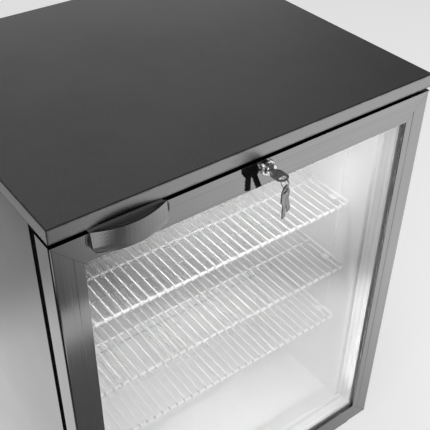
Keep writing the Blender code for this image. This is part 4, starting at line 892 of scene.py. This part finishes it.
bmesh.ops.inset_individual(bm, faces=holes, thickness=HOLE_RIM, depth=0.0)
bmesh.ops.inset_individual(bm, faces=holes, thickness=HOLE_WALL, depth=-HOLE_DEPTH)
print("holes:", len(holes))
finished(bm, "spacer_pierced", spacer_metal, "door", "aluminium", "glass_spacer")

# %% [markdown]
# ## Lock
# The barrel of a cam lock is turned from brass bar and then plated: a round rim stands on the door, a
# groove runs inside it, and a narrower head rises out of the groove. A turned part is spun here too:
# half of its section is drawn beside the axis, and swept once round.

# %% Barrel
HEAD, BODY, EASED = 0.0074, 0.0080, 0.0008  # radii of head and body, and the head's eased edge
PLAY = 0.0004  # between the plug and its bore
GROOVE_FLOOR, CROWN = -0.0010, -0.0036  # where the groove is deepest, and the rim stands out furthest
barrel_low, barrel_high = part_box("lock_barrel")
plug_low, plug_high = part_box("lock_plug")
axle = Vector(((barrel_low.x + barrel_high.x) / 2, FACE, (barrel_low.z + barrel_high.z) / 2))
rim = (barrel_high.x - barrel_low.x) / 2
bore = (plug_high.x - plug_low.x) / 2 - PLAY
front, back = barrel_low.y - FACE, barrel_high.y - FACE
section = [(bore, front + EASED), (bore + PLAY, front), (HEAD, front), (BODY, front + EASED)]
section += [(0.0081, -0.0014), (0.0090, GROOVE_FLOOR), (0.0094, -0.0022), (0.0098, -0.0032)]
section += [(0.0104, CROWN), (rim - 0.0002, -0.0032), (rim, -0.0022), (rim, -0.0002)]
section += [(BODY, -0.0002), (BODY, back), (bore, back)]
bm = bmesh.new()
verts = [bm.verts.new(axle + Vector((radius, depth, 0))) for radius, depth in section]
edges = [bm.edges.new(pair) for pair in zip(verts, verts[1:] + verts[:1])]
spun = {"cent": axle, "axis": BACKWARD, "dvec": (0, 0, 0), "angle": 2 * math.pi, "steps": 48}
bmesh.ops.spin(bm, geom=verts + edges, use_merge=True, use_duplicate=False, **spun)
finished(bm, "lock_barrel_turned", chrome, "door", "chrome", "lock_barrel", angle=40)

# %% [markdown]
# ### Keys
# Keys are punched from strip, so their outline is already exact. What a punched key also has is a
# coined face: a border is left standing round it, which an inset makes. The two spares hang a little
# turned on their ring, and the slot of the key in the lock is eased, so that the ring can swing in it.


# %% Keys
SLOT_EDGE = 0.0091  # straight edge of the ring's slot, from the end of the bow
BORDER, COINED = 0.0009, 0.0003  # the standing border's width, and the depth of the face within it
HUNG = 0.004  # a key hangs this far below the top of its bow


def coined(name, body, yaw=0.0, lean=0.0, room=0.0):
    """A copy of a plain key, with coined faces and room for the ring at the slot's straight edge."""
    low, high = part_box(name)
    bm = bmesh.new()
    bm.from_mesh(nodes[name].data)
    bmesh.ops.remove_doubles(bm, verts=bm.verts, dist=1e-6)
    bmesh.ops.dissolve_limit(bm, angle_limit=math.radians(1), verts=bm.verts, edges=bm.edges)
    for vert in bm.verts:
        if abs(vert.co.y - low.y - SLOT_EDGE) < 0.0002:
            vert.co.y += room
    faces = sorted(bm.faces, key=lambda face: face.calc_area(), reverse=True)
    flat = faces[0].normal.copy()
    sides = [face for face in faces if abs(face.normal.dot(flat)) > 0.99 and face.calc_area() > 1e-6]
    bmesh.ops.inset_region(bm, faces=sides, thickness=BORDER, depth=-COINED, use_even_offset=True)
    hang = Vector(((low.x + high.x) / 2, (low.y + high.y) / 2, high.z - HUNG))
    turn = Matrix.Rotation(math.radians(yaw), 4, "Z") @ Matrix.Rotation(math.radians(lean), 4, "Y")
    about = Matrix.Translation(hang) @ turn @ Matrix.Translation(-hang)
    bmesh.ops.transform(bm, matrix=about, verts=bm.verts)
    return finished(bm, name + "_coined", nickel, body, "key_steel", name, angle=25)


coined("key_in_lock", "lock", room=0.0005)
coined("spare_key_front", "spare_key_front", yaw=22)
coined("spare_key_back", "spare_key_back", yaw=22, lean=-6)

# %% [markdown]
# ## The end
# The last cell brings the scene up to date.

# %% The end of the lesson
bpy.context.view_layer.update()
